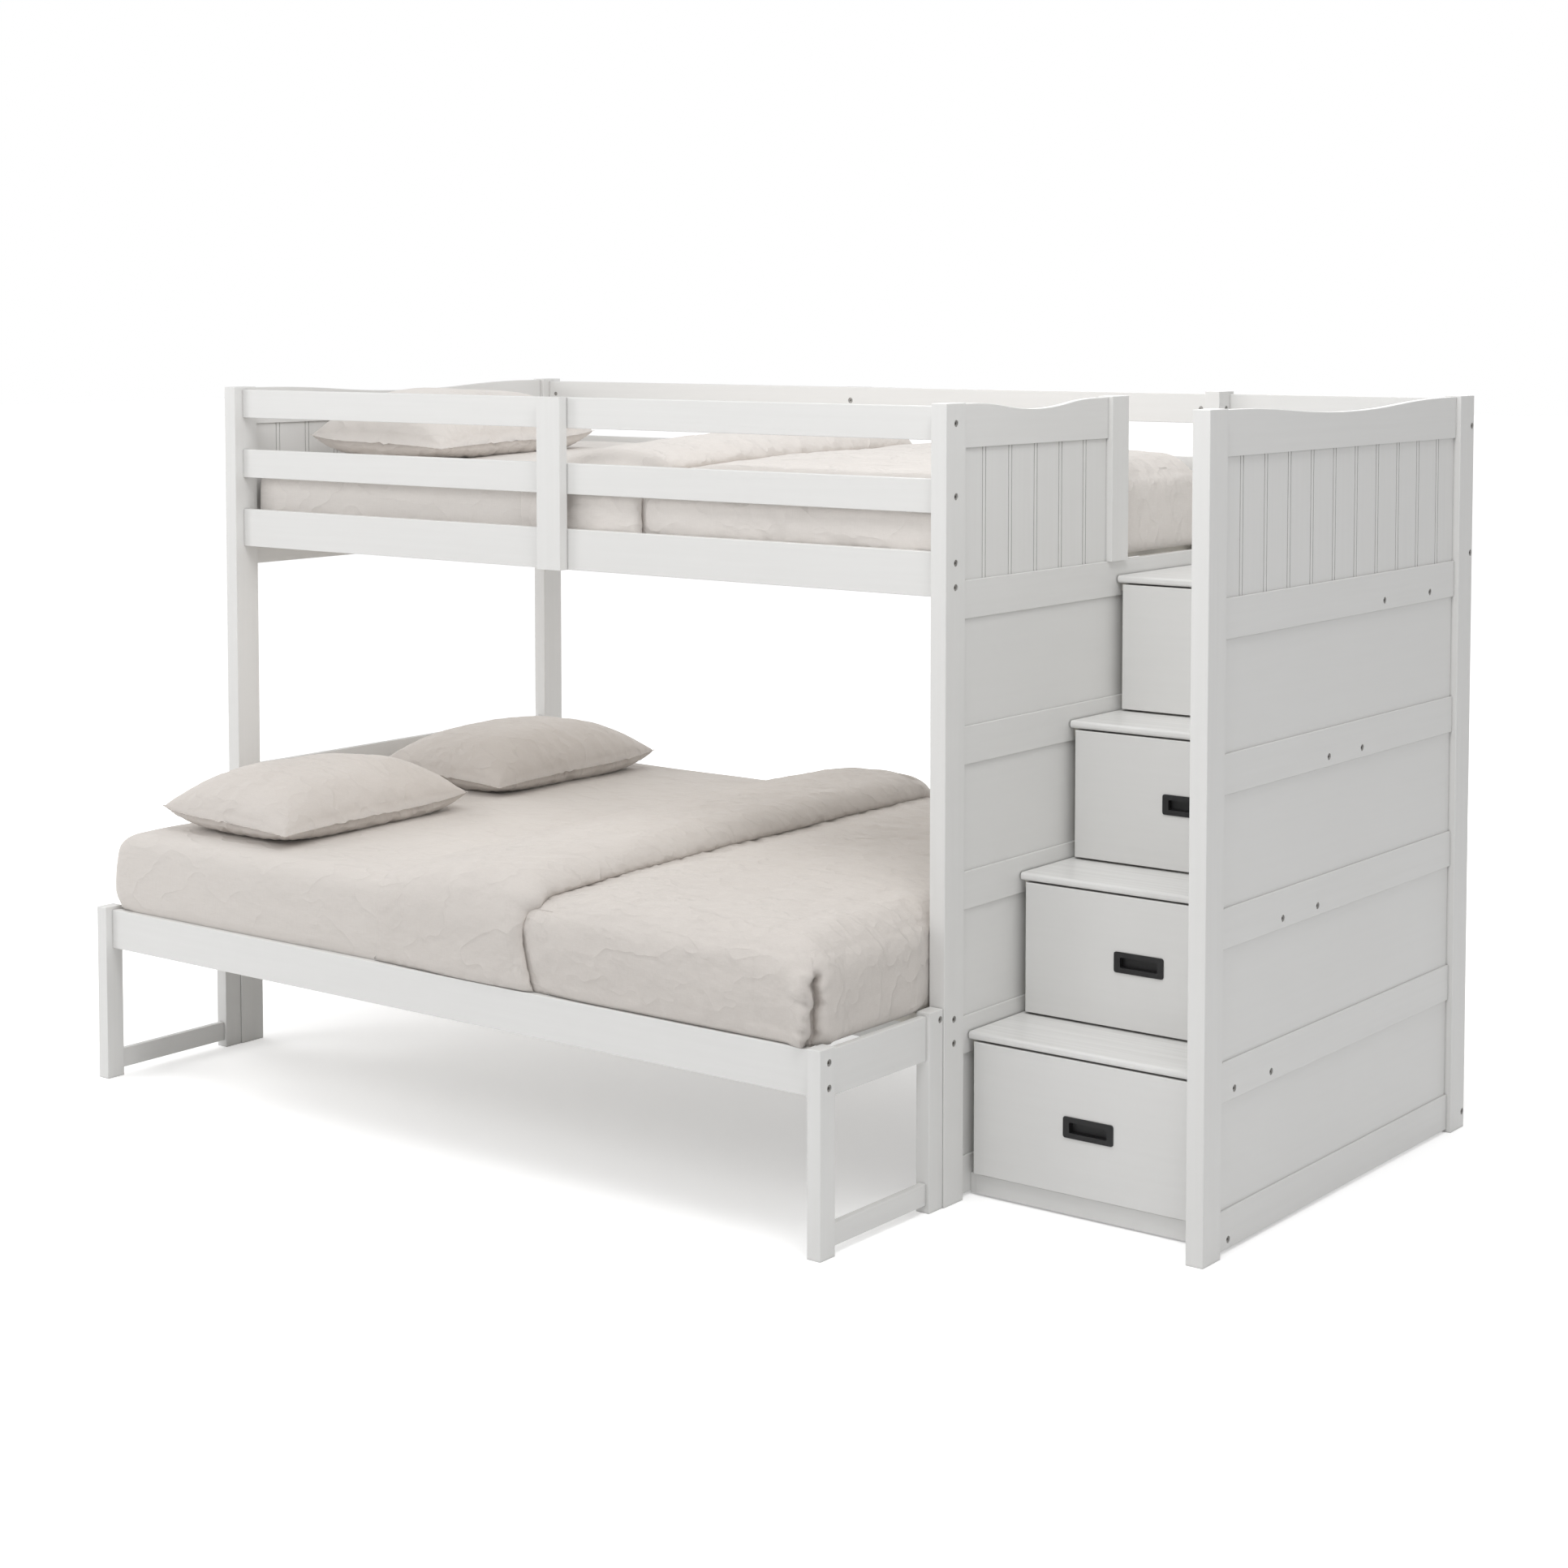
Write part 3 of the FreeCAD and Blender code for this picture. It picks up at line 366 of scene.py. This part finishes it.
lower_sheet = linen("lower_sheet_linen", (0.70, 0.661, 0.626), (0.635, 0.596, 0.561))
# The upper bed's sheet is the lower bed's linen made lighter by the same step in each channel: painted light on
# the upper bed.
upper_sheet_painted_lighter = linen("upper_sheet_linen", (0.80, 0.762, 0.728), (0.735, 0.697, 0.663))
mattress_round = 0.038  # radius of the top edges
mattress_edge = 0.007  # the front top edge, above the solid's top
mattress_rise = 0.020  # from the front top edge to the back
mattress_bulge = 0.009  # of the sides
mattress_pitch, mattress_fine, mattress_layer, mattress_border = 0.03, 0.011, 0.013, 0.05
mattress_held = 0.03  # height that the settling leaves as it is
head_overhang, head_reach = 0.022, 0.030  # past the solid's ends, in front of the posts
sheet_pull, duvet_press = 0.002, 0.004
fade = 0.05  # the length over which one form goes over into the next
soft_press = 0.006  # depth of the cover that gives way to a post or rail
no_opening = -9.0


def rise(y, low, high):
    """How far a bed's top rises above its front edge, at a place from the front to the back."""
    return mattress_rise * (1 - (1 - limited((y - low.y) / (high.y - low.y))) ** 3)


def belly(height, start):
    """The outline of a bulging side, from its bottom, a share of the curve up, to its top."""
    return math.sin(math.pi * min(1.0, start + (1 - start) * height))


def stay_clear(piece, room, open_to=no_opening, reach=0.0):
    """Presses a piece's cover back, softly, from the posts and rails round a bed. In front of the
    place open_to, its ends may reach further."""
    low, high = room
    for vertex in piece.data.vertices:
        point = vertex.co
        more = reach * limited((open_to - point.y) / fade)
        for axis, extra in ((0, more), (1, 0.0)):
            over = point[axis] - (high[axis] + extra - soft_press)
            under = low[axis] - extra + soft_press - point[axis]
            if over > 0:
                point[axis] += soft_press * (1 - math.exp(-over / soft_press)) - over
            if under > 0:
                point[axis] -= soft_press * (1 - math.exp(-under / soft_press)) - under


def mattress(node, cloth, covered_from, room, open_to):
    """A mattress in its sheet. From covered_from to the foot, its duvet presses it in a little."""
    low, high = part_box(node)
    high.z += mattress_edge
    xs, ys = [spread(low[axis], high[axis], mattress_pitch, mattress_fine, mattress_fine, mattress_border)
              for axis in (0, 1)]
    zs = spread(low.z, high.z, mattress_layer)
    points, faces = block_skin(xs, ys, zs, [(axis, end) for axis in (0, 1, 2) for end in (0, 1)])
    middle, half = (low + high) / 2, (high - low) / 2
    deep = low - Vector((0, 0, mattress_round))
    skin = []
    for sharp in points:
        point, out = round_off(sharp, deep, high, mattress_round)
        u = (point.x - middle.x) / half.x
        height = (point.z - low.z) / (high.z - low.z)
        covered = limited((point.x - covered_from) / fade)
        bulge = mattress_bulge * belly(height, 0.30) * (1 - covered)
        point += Vector((out.x, out.y, 0)) * (bulge if height > 0.06 else 0.3 * bulge)
        if out.x < 0:
            free = limited((open_to - point.y) / fade) * limited(height * 8 - 0.5)
            point.x += out.x * head_overhang * free * belly(height, 0.25) ** 0.5
        if out.z > 0:
            point.z += rise(point.y, low, high) * (1 - abs(u) ** 12) * out.z
        pulls = noise.noise(Vector((point.x * 4.0, point.y * 9.0, point.z * 16.0)))
        if out.z > -0.5:
            point += out * (sheet_pull * pulls - sheet_pull - duvet_press * covered)
        skin.append(point)
    piece = new_piece(node + "_sheeted", skin, faces, cloth, node)
    under = [i for i, p in enumerate(skin) if p.z < low.z + mattress_held]
    settle(piece, under, pressure=1.0, growth=0.008, cap=0.003, pinned=0.45)
    stay_clear(piece, room, open_to, head_reach)


play, back_play, post_play = 0.0015, 0.02, 0.008
post_low, post_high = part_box("left_front_post")
foot_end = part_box("inner_front_post")[0].x - play
lower_room = (Vector((post_high.x + play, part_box("extension_legs")[0].y, 0.0)),
              Vector((foot_end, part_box("left_back_post")[1].y - back_play, 0.0)))
upper_room = (Vector((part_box("left_cross_rails")[1].x + play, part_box("front_guard_rails")[1].y + play, 0.0)),
              Vector((foot_end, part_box("back_guard_rails")[0].y - play, 0.0)))
lower_opening = post_low.y - post_play
mattress("lower_mattress", lower_sheet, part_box("lower_duvet")[0].x, lower_room, lower_opening)
mattress("upper_mattress", upper_sheet_painted_lighter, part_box("upper_duvet")[0].x, upper_room, no_opening)

# Duvets
# Stuffed duvets in linen covers, spread over the foot of each mattress, tucked in along the
# sides and the foot, and folded back on themselves towards the head in a thick soft roll.

lower_cover = linen("lower_duvet_linen", (0.685, 0.645, 0.61), (0.62, 0.58, 0.545))
# The upper bed's duvet is the lower bed's linen made lighter by the same step in each channel: painted light on
# the upper bed.
upper_cover_painted_lighter = linen("upper_duvet_linen", (0.79, 0.75, 0.715), (0.725, 0.685, 0.65))
duvet_round, duvet_bulge, duvet_gap = 0.072, 0.007, 0.001
duvet_pitch, duvet_fine, duvet_close, duvet_layer = 0.014, 0.009, 0.005, 0.008
swell, ripple_lift = 0.0045, 0.0025
tuck_height, tuck_depth, tuck_share = 0.022, 0.006, 0.45  # of the bottom edge, under the bed
gather_drop, gather_fade = 0.055, 0.02  # from the top down to where the corner is gathered
fold_thick, fold_side, fold_round = 0.014, 0.004, 0.055
fold_more_top, fold_more_side = 0.004, 0.003
roll_top, roll_side = 0.085, 0.03
hem_wander, hem_under = 0.010, 0.07
dip_top, dip_side, dip_length = 0.018, 0.008, 0.075  # of the spread, under the fold's edge
crease_depth, crease_length, crease_shift = 0.012, 0.022, 0.004  # along that edge on the sides
foot_slope, foot_slope_share = 0.30, 0.7
foot_overhang, foot_reach = 0.014, 0.020
leg_depth, leg_height, leg_fade = 0.034, 0.007, 0.02  # of the bed's corner leg, beside the cover
fold_steps, roll_steps, shoulder_steps = 30, 12, 9


def stuffing(point, out, seed):
    """How the stuffing lifts the cover: broad swells, and drawn-out ripples between them."""
    x, y, z = point
    broad = noise.noise(Vector((x * 4.4, y * 4.4, z * 6.0 + seed)))
    drift = noise.noise(Vector((x * 2.0 + seed, y * 2.0, z * 2.0)))
    ripple = noise.noise(Vector((x * 6.0 + drift * 3.0, y * 19.0 + drift * 6.0, z * 17.0 + seed)))
    return out * (swell * broad + ripple_lift * ripple)


def hump(place, middle, width):
    """A smooth hump: 1 at its middle, and nearly 0 from two widths on."""
    return math.exp(-(((place - middle) / width) ** 2))


def corner_tuck(sharp, point, out, front, foot, top, seed):
    """The gathered fold where the front and the foot of a cover meet: two lips and a gap."""
    if abs(sharp.y - front) < hair:
        across = sharp.x - foot
    elif abs(sharp.x - foot) < hair:
        across = sharp.y - front
    else:
        return Vector()
    fall = limited((top - gather_drop - point.z) / gather_fade)
    frill = noise.noise(Vector((seed, 0.5, point.z * 55.0)))
    ruffle = noise.noise(Vector((seed, across * 45.0, point.z * 90.0)))
    front_lip = 0.016 * hump(across, -0.026, 0.017) * (1 + 0.8 * ruffle)
    foot_lip = 0.009 * hump(across, 0.040, 0.022) * (1 + 0.6 * ruffle)
    gap = 0.036 * hump(across, 0.003 + 0.011 * frill, 0.0085)
    return out * (front_lip + foot_lip - gap) * fall


def close_lining(piece, lining):
    """Gives a cover its underside and joins the two round the open edges."""
    old = piece.data
    count = len(old.vertices)
    points = [v.co.copy() for v in old.vertices] + lining
    faces = [list(p.vertices) for p in old.polygons]
    edges = {(a, b) for face in faces for a, b in zip(face, face[1:] + face[:1])}
    under = [[i + count for i in reversed(face)] for face in faces]
    joined = [[b, a, a + count, b + count] for a, b in sorted(edges) if (b, a) not in edges]
    mesh = bpy.data.meshes.new(piece.name)
    mesh.from_pydata([tuple(p) for p in points], [], faces + under + joined)
    mesh.polygons.foreach_set("use_smooth", [True] * len(mesh.polygons))
    mesh.materials.append(old.materials[0])
    piece.data = mesh
    bpy.data.meshes.remove(old)


def duvet_spread(node, cloth, solid, bed, room, open_to, hem, hem_line, seed):
    """The part of a duvet that lies over the foot of a mattress, closed below by its lining."""
    (low, high), (bed_low, bed_high) = solid, bed
    sharp_end = Vector((1.0, 0.0, 1.0))  # keeps the head end and the bottom from being rounded
    outer_low = Vector((low.x, low.y + fold_side, low.z)) - sharp_end
    outer_high = Vector((high.x, high.y - fold_side, high.z - fold_thick))
    inner_low = Vector((low.x, bed_low.y - duvet_gap, low.z)) - sharp_end
    inner_high = bed_high + Vector((duvet_gap, duvet_gap, duvet_gap + mattress_edge))
    xs = spread(hem - hem_under, outer_high.x, duvet_pitch, duvet_fine, duvet_close, 0.12)
    ys = spread(outer_low.y, outer_high.y, duvet_pitch, duvet_close, 0.007)
    zs = spread(low.z, outer_high.z, duvet_layer)
    points, faces = block_skin(xs, ys, zs, [(2, 1), (1, 0), (1, 1), (0, 1)])
    skin, lining = [], []
    for sharp in points:
        point, out = round_off(sharp, outer_low, outer_high, duvet_round)
        up = sharp.z - low.z
        beyond = point.x - hem_line(point, out)
        dip = (dip_top if out.z > 0.6 else dip_side) * hump(max(0.0, beyond), 0.0, dip_length)
        if out.z < 0.6:
            dip += crease_depth * hump(max(0.0, beyond + crease_shift), 0.0, crease_length)
        bulge = 0.0
        if out.z < 0.5:
            bulge = duvet_bulge * math.sin(math.pi * min(1.0, up / (outer_high.z - low.z)))
        tucked = tuck_depth * (max(0.0, tuck_height - up) / tuck_height) ** 2
        slope = 1 - foot_slope_share * limited((point.x - outer_high.x + foot_slope) / foot_slope) ** 2
        past_leg = limited((point.y - low.y - leg_depth) / leg_fade)
        over_leg = max(0.0, point.z - low.z - leg_height * (1 - past_leg)) / leg_fade
        free = limited((open_to - point.y) / fade) * min(1.0, 0.5 * past_leg + over_leg)
        loose = min(1.0, up / 0.03)
        point.z += rise(point.y, bed_low, bed_high) * slope * max(0.0, out.z)
        point.x += foot_overhang * max(0.0, out.x) * free
        tuck = corner_tuck(sharp, point, out, outer_low.y, outer_high.x, outer_high.z, seed)
        point = point + stuffing(point, out, seed) * loose + tuck + out * (bulge - dip)
        skin.append(point - Vector((out.x, out.y, 0)) * tucked)
        inner = Vector(min(max(p, l), h) for p, l, h in zip(sharp, inner_low, inner_high))
        under, out = round_off(inner, inner_low, inner_high, mattress_round)
        lining.append(under + Vector((0, 0, rise(under.y, bed_low, bed_high) * max(0.0, out.z))))
    piece = new_piece(node + "_spread", skin, faces, cloth, node)
    still = [i for i, p in enumerate(points) if p.z < low.z + 0.012 or p.x < hem - 0.03]
    settle(piece, still, pressure=0.5, growth=0.018, cap=0.008, pinned=0.42)
    stay_clear(piece, room, open_to, foot_reach)
    close_lining(piece, lining)


def fold_section(bottom, bed_low, bed_high):
    """Places round a bed, up the front, over the top and down the back, each with its way out."""
    front, back, shoulder = bed_low.y, bed_high.y, bed_high.z - fold_round
    heights = spread(bottom, shoulder, 0.009)
    turns = [math.pi / 2 * k / shoulder_steps for k in range(1, shoulder_steps)]
    section = [(Vector((0, front, z)), Vector((0, -1, 0))) for z in heights]
    for turn in turns:
        out = Vector((0, -math.cos(turn), math.sin(turn)))
        section.append((Vector((0, front + fold_round, shoulder)) + out * fold_round, out))
    flat = spread(front + fold_round, back - fold_round, duvet_pitch)
    section += [(Vector((0, y, bed_high.z)), Vector((0, 0, 1))) for y in flat]
    for turn in turns:
        out = Vector((0, math.sin(turn), math.cos(turn)))
        section.append((Vector((0, back - fold_round, shoulder)) + out * fold_round, out))
    return section + [(Vector((0, back, z)), Vector((0, 1, 0))) for z in reversed(heights)]


def fold_row(start, end, roll):
    """Places along a fold from the head to its edge, each with its share of the fold's thickness."""
    row = []
    for k in range(fold_steps + 1):
        u = k / fold_steps
        full = 0.14 + 0.86 * math.sin(math.pi / 2 * min(1.0, u / 0.8)) ** 1.3
        row.append((start + (end - roll - start) * u, full if k else 0.0))
    for k in range(1, roll_steps + 1):
        turn = math.pi / 2 * k / roll_steps
        row.append((end - roll * (1 - math.sin(turn)), 0.22 + 0.78 * math.cos(turn)))
    return row + [(end - 0.004, 0.12), (end - 0.02, 0.02)]


def duvet_fold(node, cloth, solid, bed, room, fold_loft, hem_line, seed):
    """The part of a duvet that is folded back towards the head, in a thick soft roll."""
    (low, high), (bed_low, bed_high) = solid, bed
    thick_top, thick_side = high.z - bed_high.z + fold_more_top, bed_low.y - low.y + fold_more_side
    rows, points, faces = [], [], []
    for base, out in fold_section(low.z, bed_low, bed_high):
        upward = max(0.0, out.z)
        raised = rise(base.y, bed_low, bed_high) * upward
        base = base + Vector((0, 0, raised + mattress_edge * upward))
        loft = fold_loft * raised / mattress_rise
        thick = thick_side + (thick_top - thick_side + loft) * upward ** 2
        roll = roll_side + (roll_top - roll_side) * upward ** 2
        tuck_in = 1.0 - tuck_share * (max(0.0, tuck_height - (base.z - low.z)) / tuck_height) ** 2
        row = fold_row(low.x, hem_line(base, out), roll)
        rows.append(range(len(points), len(points) + len(row)))
        for x, full in row:
            place = base + Vector((x, 0, 0))
            lift = duvet_gap + thick * full * tuck_in
            points.append(place + out * lift + stuffing(place, out, seed) * min(1.0, full))
    for first, second in zip(rows, rows[1:]):
        for k in range(len(first)):
            after = (k + 1) % len(first)
            faces.append([first[k], first[after], second[after], second[k]])
    faces += [list(reversed(rows[0])), list(rows[-1])]
    piece = new_piece(node + "_fold", points, faces, cloth, node)
    count = len(rows[0])
    still = [i for i in range(len(points)) if i % count in (0, 1, 2, count - 2, count - 1)]
    still += [*rows[0], *rows[-1]]
    settle(piece, still, pressure=0.5, growth=0.018, cap=0.007, pinned=0.42)
    stay_clear(piece, room)


def duvet(node, mattress_node, cloth, room, open_to, fold_length, fold_loft, run_back, seed):
    """A duvet in two pieces: its spread over the foot, and its fold towards the head."""
    low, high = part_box(node)
    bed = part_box(mattress_node)
    low.z = bed[0].z + duvet_gap
    hem, top = low.x + fold_length, high.z - fold_thick

    def hem_line(point, out):
        """Where the fold's edge lies. It wanders a little, and runs back on the sides."""
        height = limited((point.z - low.z) / (top - low.z))
        back = run_back * math.sin(math.pi * height ** 1.2) if out.z < 0.7 else 0.0
        wander = hem_wander * noise.noise(Vector((point.y * 3.0 + seed, point.z * 5.0, 0)))
        return hem + (wander - back)

    duvet_spread(node, cloth, (low, high), bed, room, open_to, hem, hem_line, seed)
    duvet_fold(node, cloth, (low, high), bed, room, fold_loft, hem_line, seed)


duvet("lower_duvet", "lower_mattress", lower_cover, lower_room, lower_opening,
      fold_length=0.443, fold_loft=0.005, run_back=0.030, seed=3.0)
duvet("upper_duvet", "upper_mattress", upper_cover_painted_lighter, upper_room, no_opening,
      fold_length=0.355, fold_loft=0.010, run_back=0.008, seed=8.0)

# Pillows
# Two linen panels sewn together round the edge and stuffed: plump in the middle, pointed at
# the corners, gathered along the seam and flat where the pillow rests on the mattress.

lower_case = linen("lower_pillow_linen", (0.67, 0.628, 0.592), (0.61, 0.568, 0.532))
# The upper bed's pillow case is the lower bed's linen made lighter by the same step in each channel: painted
# light on the upper bed.
upper_case_painted_lighter = linen("upper_pillow_linen", (0.77, 0.73, 0.695), (0.71, 0.67, 0.635))
pillow_width, pillow_length = 0.42, 0.57
pillow_seam = 0.0468  # height of the seam above the underside
pillow_sink = 0.006  # depth of the underside in the mattress
pillow_shift = 0.008  # towards the back
steps_across, steps_along = 46, 60
sewn_edge = 0.978  # where the stuffing ends, as a share of the way from the middle to the edge
side_pull, end_pull, corner_pull = 0.05, 0.035, 0.035
gather_depth, gather_width, lump_depth = 0.004, 0.10, 0.007
seam_droop, corner_lift, front_droop = 0.010, 0.014, 0.024


def pillow_point(u, v, layer, loft, seed):
    """A point on the upper or the under panel. u and v go from -1 to 1, from edge to edge."""
    corner = abs(u * v) ** 3
    tip = 1 - corner_pull * corner
    x = pillow_width / 2 * u * (1 - side_pull * (1 - v * v) * u * u) * tip
    y = pillow_length / 2 * v * (1 - end_pull * (1 - u * u) * v * v) * tip
    inset_u, inset_v = [min(1.0, abs(w) / sewn_edge) for w in (u, v)]
    full = ((1 - inset_u ** 2.8) * (1 - inset_v ** 3.2)) ** 0.5
    rim = math.exp(-min(1 - abs(u), 1 - abs(v)) / gather_width)
    gather = noise.noise(Vector((x * 45.0, y * 45.0, seed))) * gather_depth * rim * min(1.0, full * 4)
    lump = noise.noise(Vector((x * 7.0, y * 7.0, seed + layer * 3.0))) * lump_depth * full
    droop = seam_droop - corner_lift * corner + front_droop * max(0.0, (u - v) / 2) ** 5
    if layer > 0:
        return Vector((x, y, loft * full + lump + gather - droop * (1 - full)))
    z = -pillow_seam * min(1.0, 1.35 * full) - gather - droop * (1 - full)
    return Vector((x, y, max(z, -pillow_seam)))


def pillow(node, mattress_node, cloth, loft, turn, seed):
    """A pillow that lies on its mattress, turned by some degrees."""
    low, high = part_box(node)
    bed_low, bed_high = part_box(mattress_node)
    middle = (low + high) / 2
    bed_top = bed_high.z + mattress_edge + rise(middle.y, bed_low, bed_high) - pillow_sink
    points, faces, index = [], [], {}

    def panel_key(i, j, layer):
        """A point's key. The two panels share the points of the seam."""
        return i, j, 0 if i in (0, steps_across) or j in (0, steps_along) else layer

    for layer in (1, -1):
        for i in range(steps_across + 1):
            for j in range(steps_along + 1):
                key = panel_key(i, j, layer)
                if key in index:
                    continue
                index[key] = len(points)
                u = math.sin(math.pi * (i / steps_across - 0.5))
                v = math.sin(math.pi * (j / steps_along - 0.5))
                points.append(pillow_point(u, v, layer, loft, seed))
    for layer in (1, -1):
        for i in range(steps_across):
            for j in range(steps_along):
                ring = [(i, j), (i + 1, j), (i + 1, j + 1), (i, j + 1)]
                ring = ring if layer > 0 else reversed(ring)
                faces.append([index[panel_key(a, b, layer)] for a, b in ring])
    spot = (middle.x, middle.y + pillow_shift, bed_top + pillow_seam)
    set_down = Matrix.Translation(spot) @ Matrix.Rotation(math.radians(turn), 4, "Z")
    piece = new_piece(node + "_stuffed", [set_down @ p for p in points], faces, cloth, node)
    flat = [i for i, p in enumerate(points) if p.z < 0.001 - pillow_seam]
    settle(piece, flat, pressure=2.0, growth=0.012, cap=0.008, pinned=0.3)


pillow("lower_front_pillow", "lower_mattress", lower_case, loft=0.090, turn=-1.0, seed=1.0)
pillow("lower_back_pillow", "lower_mattress", lower_case, loft=0.084, turn=-1.0, seed=2.0)
pillow("upper_pillow", "upper_mattress", upper_case_painted_lighter, loft=0.105, turn=3.0, seed=3.0)

# Floor, light and camera
# A pale studio floor in a white room. Large soft lamps stand at the front, the left and the
# back; others hang overhead and over the stairs and the upper bed, and a weak one fills the lower.

floor_reach, floor_light, floor_deep = 40.0, (0.93, 0.93, 0.93), (0.91, 0.91, 0.91)
glow_near, glow_more, glow_start, glow_end = 0.34, 0.26, 1.0, 5.0  # the floor's, as the camera sees it
room_light, room_seen = 0.56, 0.44  # the room's own light, and what the camera sees besides
black, full_white = (0.0, 0.0, 0.0), (1.0, 1.0, 1.0)

mesh = bpy.data.meshes.new("floor")
corners = [(-1, -1), (1, -1), (1, 1), (-1, 1)]
mesh.from_pydata([(x * floor_reach, y * floor_reach, 0) for x, y in corners], [], [(0, 1, 2, 3)])
floor = bpy.data.objects.new("floor", mesh)
bpy.context.collection.objects.link(floor)
material, shader, place = new_finish("floor_white")
place.noise(1.3, 2.0).tint(floor_light, floor_deep).feed(shader, "Base Color")
(0.75 + place.noise(6.0, 2.0) * 0.1).feed(shader, "Roughness")
distance = place.node("VectorMath", {"operation": "LENGTH"}, {0: place}, out=1)
glow = glow_near + distance.held(glow_start, glow_end) * glow_more
(place.node("LightPath") * glow).tint(black, full_white).feed(shader, "Emission Color")
shader.inputs["Emission Strength"].default_value = 1.0
mesh.materials.append(material)

world = bpy.context.scene.world or bpy.data.worlds.new("room")
bpy.context.scene.world = world
world.use_nodes = True
room = world.node_tree
sky = room.nodes["Background"]
sky.inputs["Color"].default_value = (*full_white, 1.0)
seen = Socket(room, room.nodes.new("ShaderNodeLightPath").outputs["Is Camera Ray"])
(room_light + seen * room_seen).feed(sky, "Strength")


def lamp(name, place, aim, size, power):
    """A square soft lamp that the camera doesn't see."""
    light = bpy.data.lights.new(name, "AREA")
    light.size, light.energy = size, power
    stand = bpy.data.objects.new(name, light)
    stand.location = place
    stand.rotation_euler = (Vector(aim) - Vector(place)).to_track_quat("-Z", "Y").to_euler()
    stand.visible_camera = False
    bpy.context.collection.objects.link(stand)


lamp("left_front_lamp", (-3.2, -3.0, 2.4), (-0.6, 0.0, 0.9), size=1.6, power=30.0)
lamp("front_lamp", (-1.0, -3.4, 2.6), (-0.6, 0.0, 1.2), size=1.2, power=10.0)
lamp("overhead_lamp", (1.3, -1.6, 4.5), (0.8, 0.0, 0.4), size=2.5, power=42.0)
lamp("stairs_lamp", (1.7, -1.4, 3.2), (0.95, -0.1, 0.4), size=0.9, power=17.0)
lamp("upper_lamp", (-0.1, 0.1, 2.9), (0.0, 0.1, 1.3), size=1.2, power=4.0)
lamp("lower_lamp", (-0.45, 0.15, 1.10), (-0.45, 0.10, 0.5), size=1.2, power=1.5)
lamp("back_lamp", (-0.9, 4.2, 2.0), (-0.3, 0.0, 0.5), size=3.0, power=48.0)
lamp("left_lamp", (-4.6, 0.2, 1.7), (0.0, -0.1, 0.5), size=2.5, power=48.0)
bpy.context.scene.view_settings.view_transform = "Standard"

camera_dip, camera_turn = 3.493, 37.597
view = bpy.data.cameras.new("camera")
view.sensor_width, view.lens, view.shift_y = 36.0, 63.99, -0.19
camera = bpy.data.objects.new("camera", view)
camera.location = (3.6387, -4.6401, 1.6824)
camera.rotation_euler = (math.radians(90 - camera_dip), 0.0, math.radians(camera_turn))
bpy.context.collection.objects.link(camera)
bpy.context.scene.camera = camera
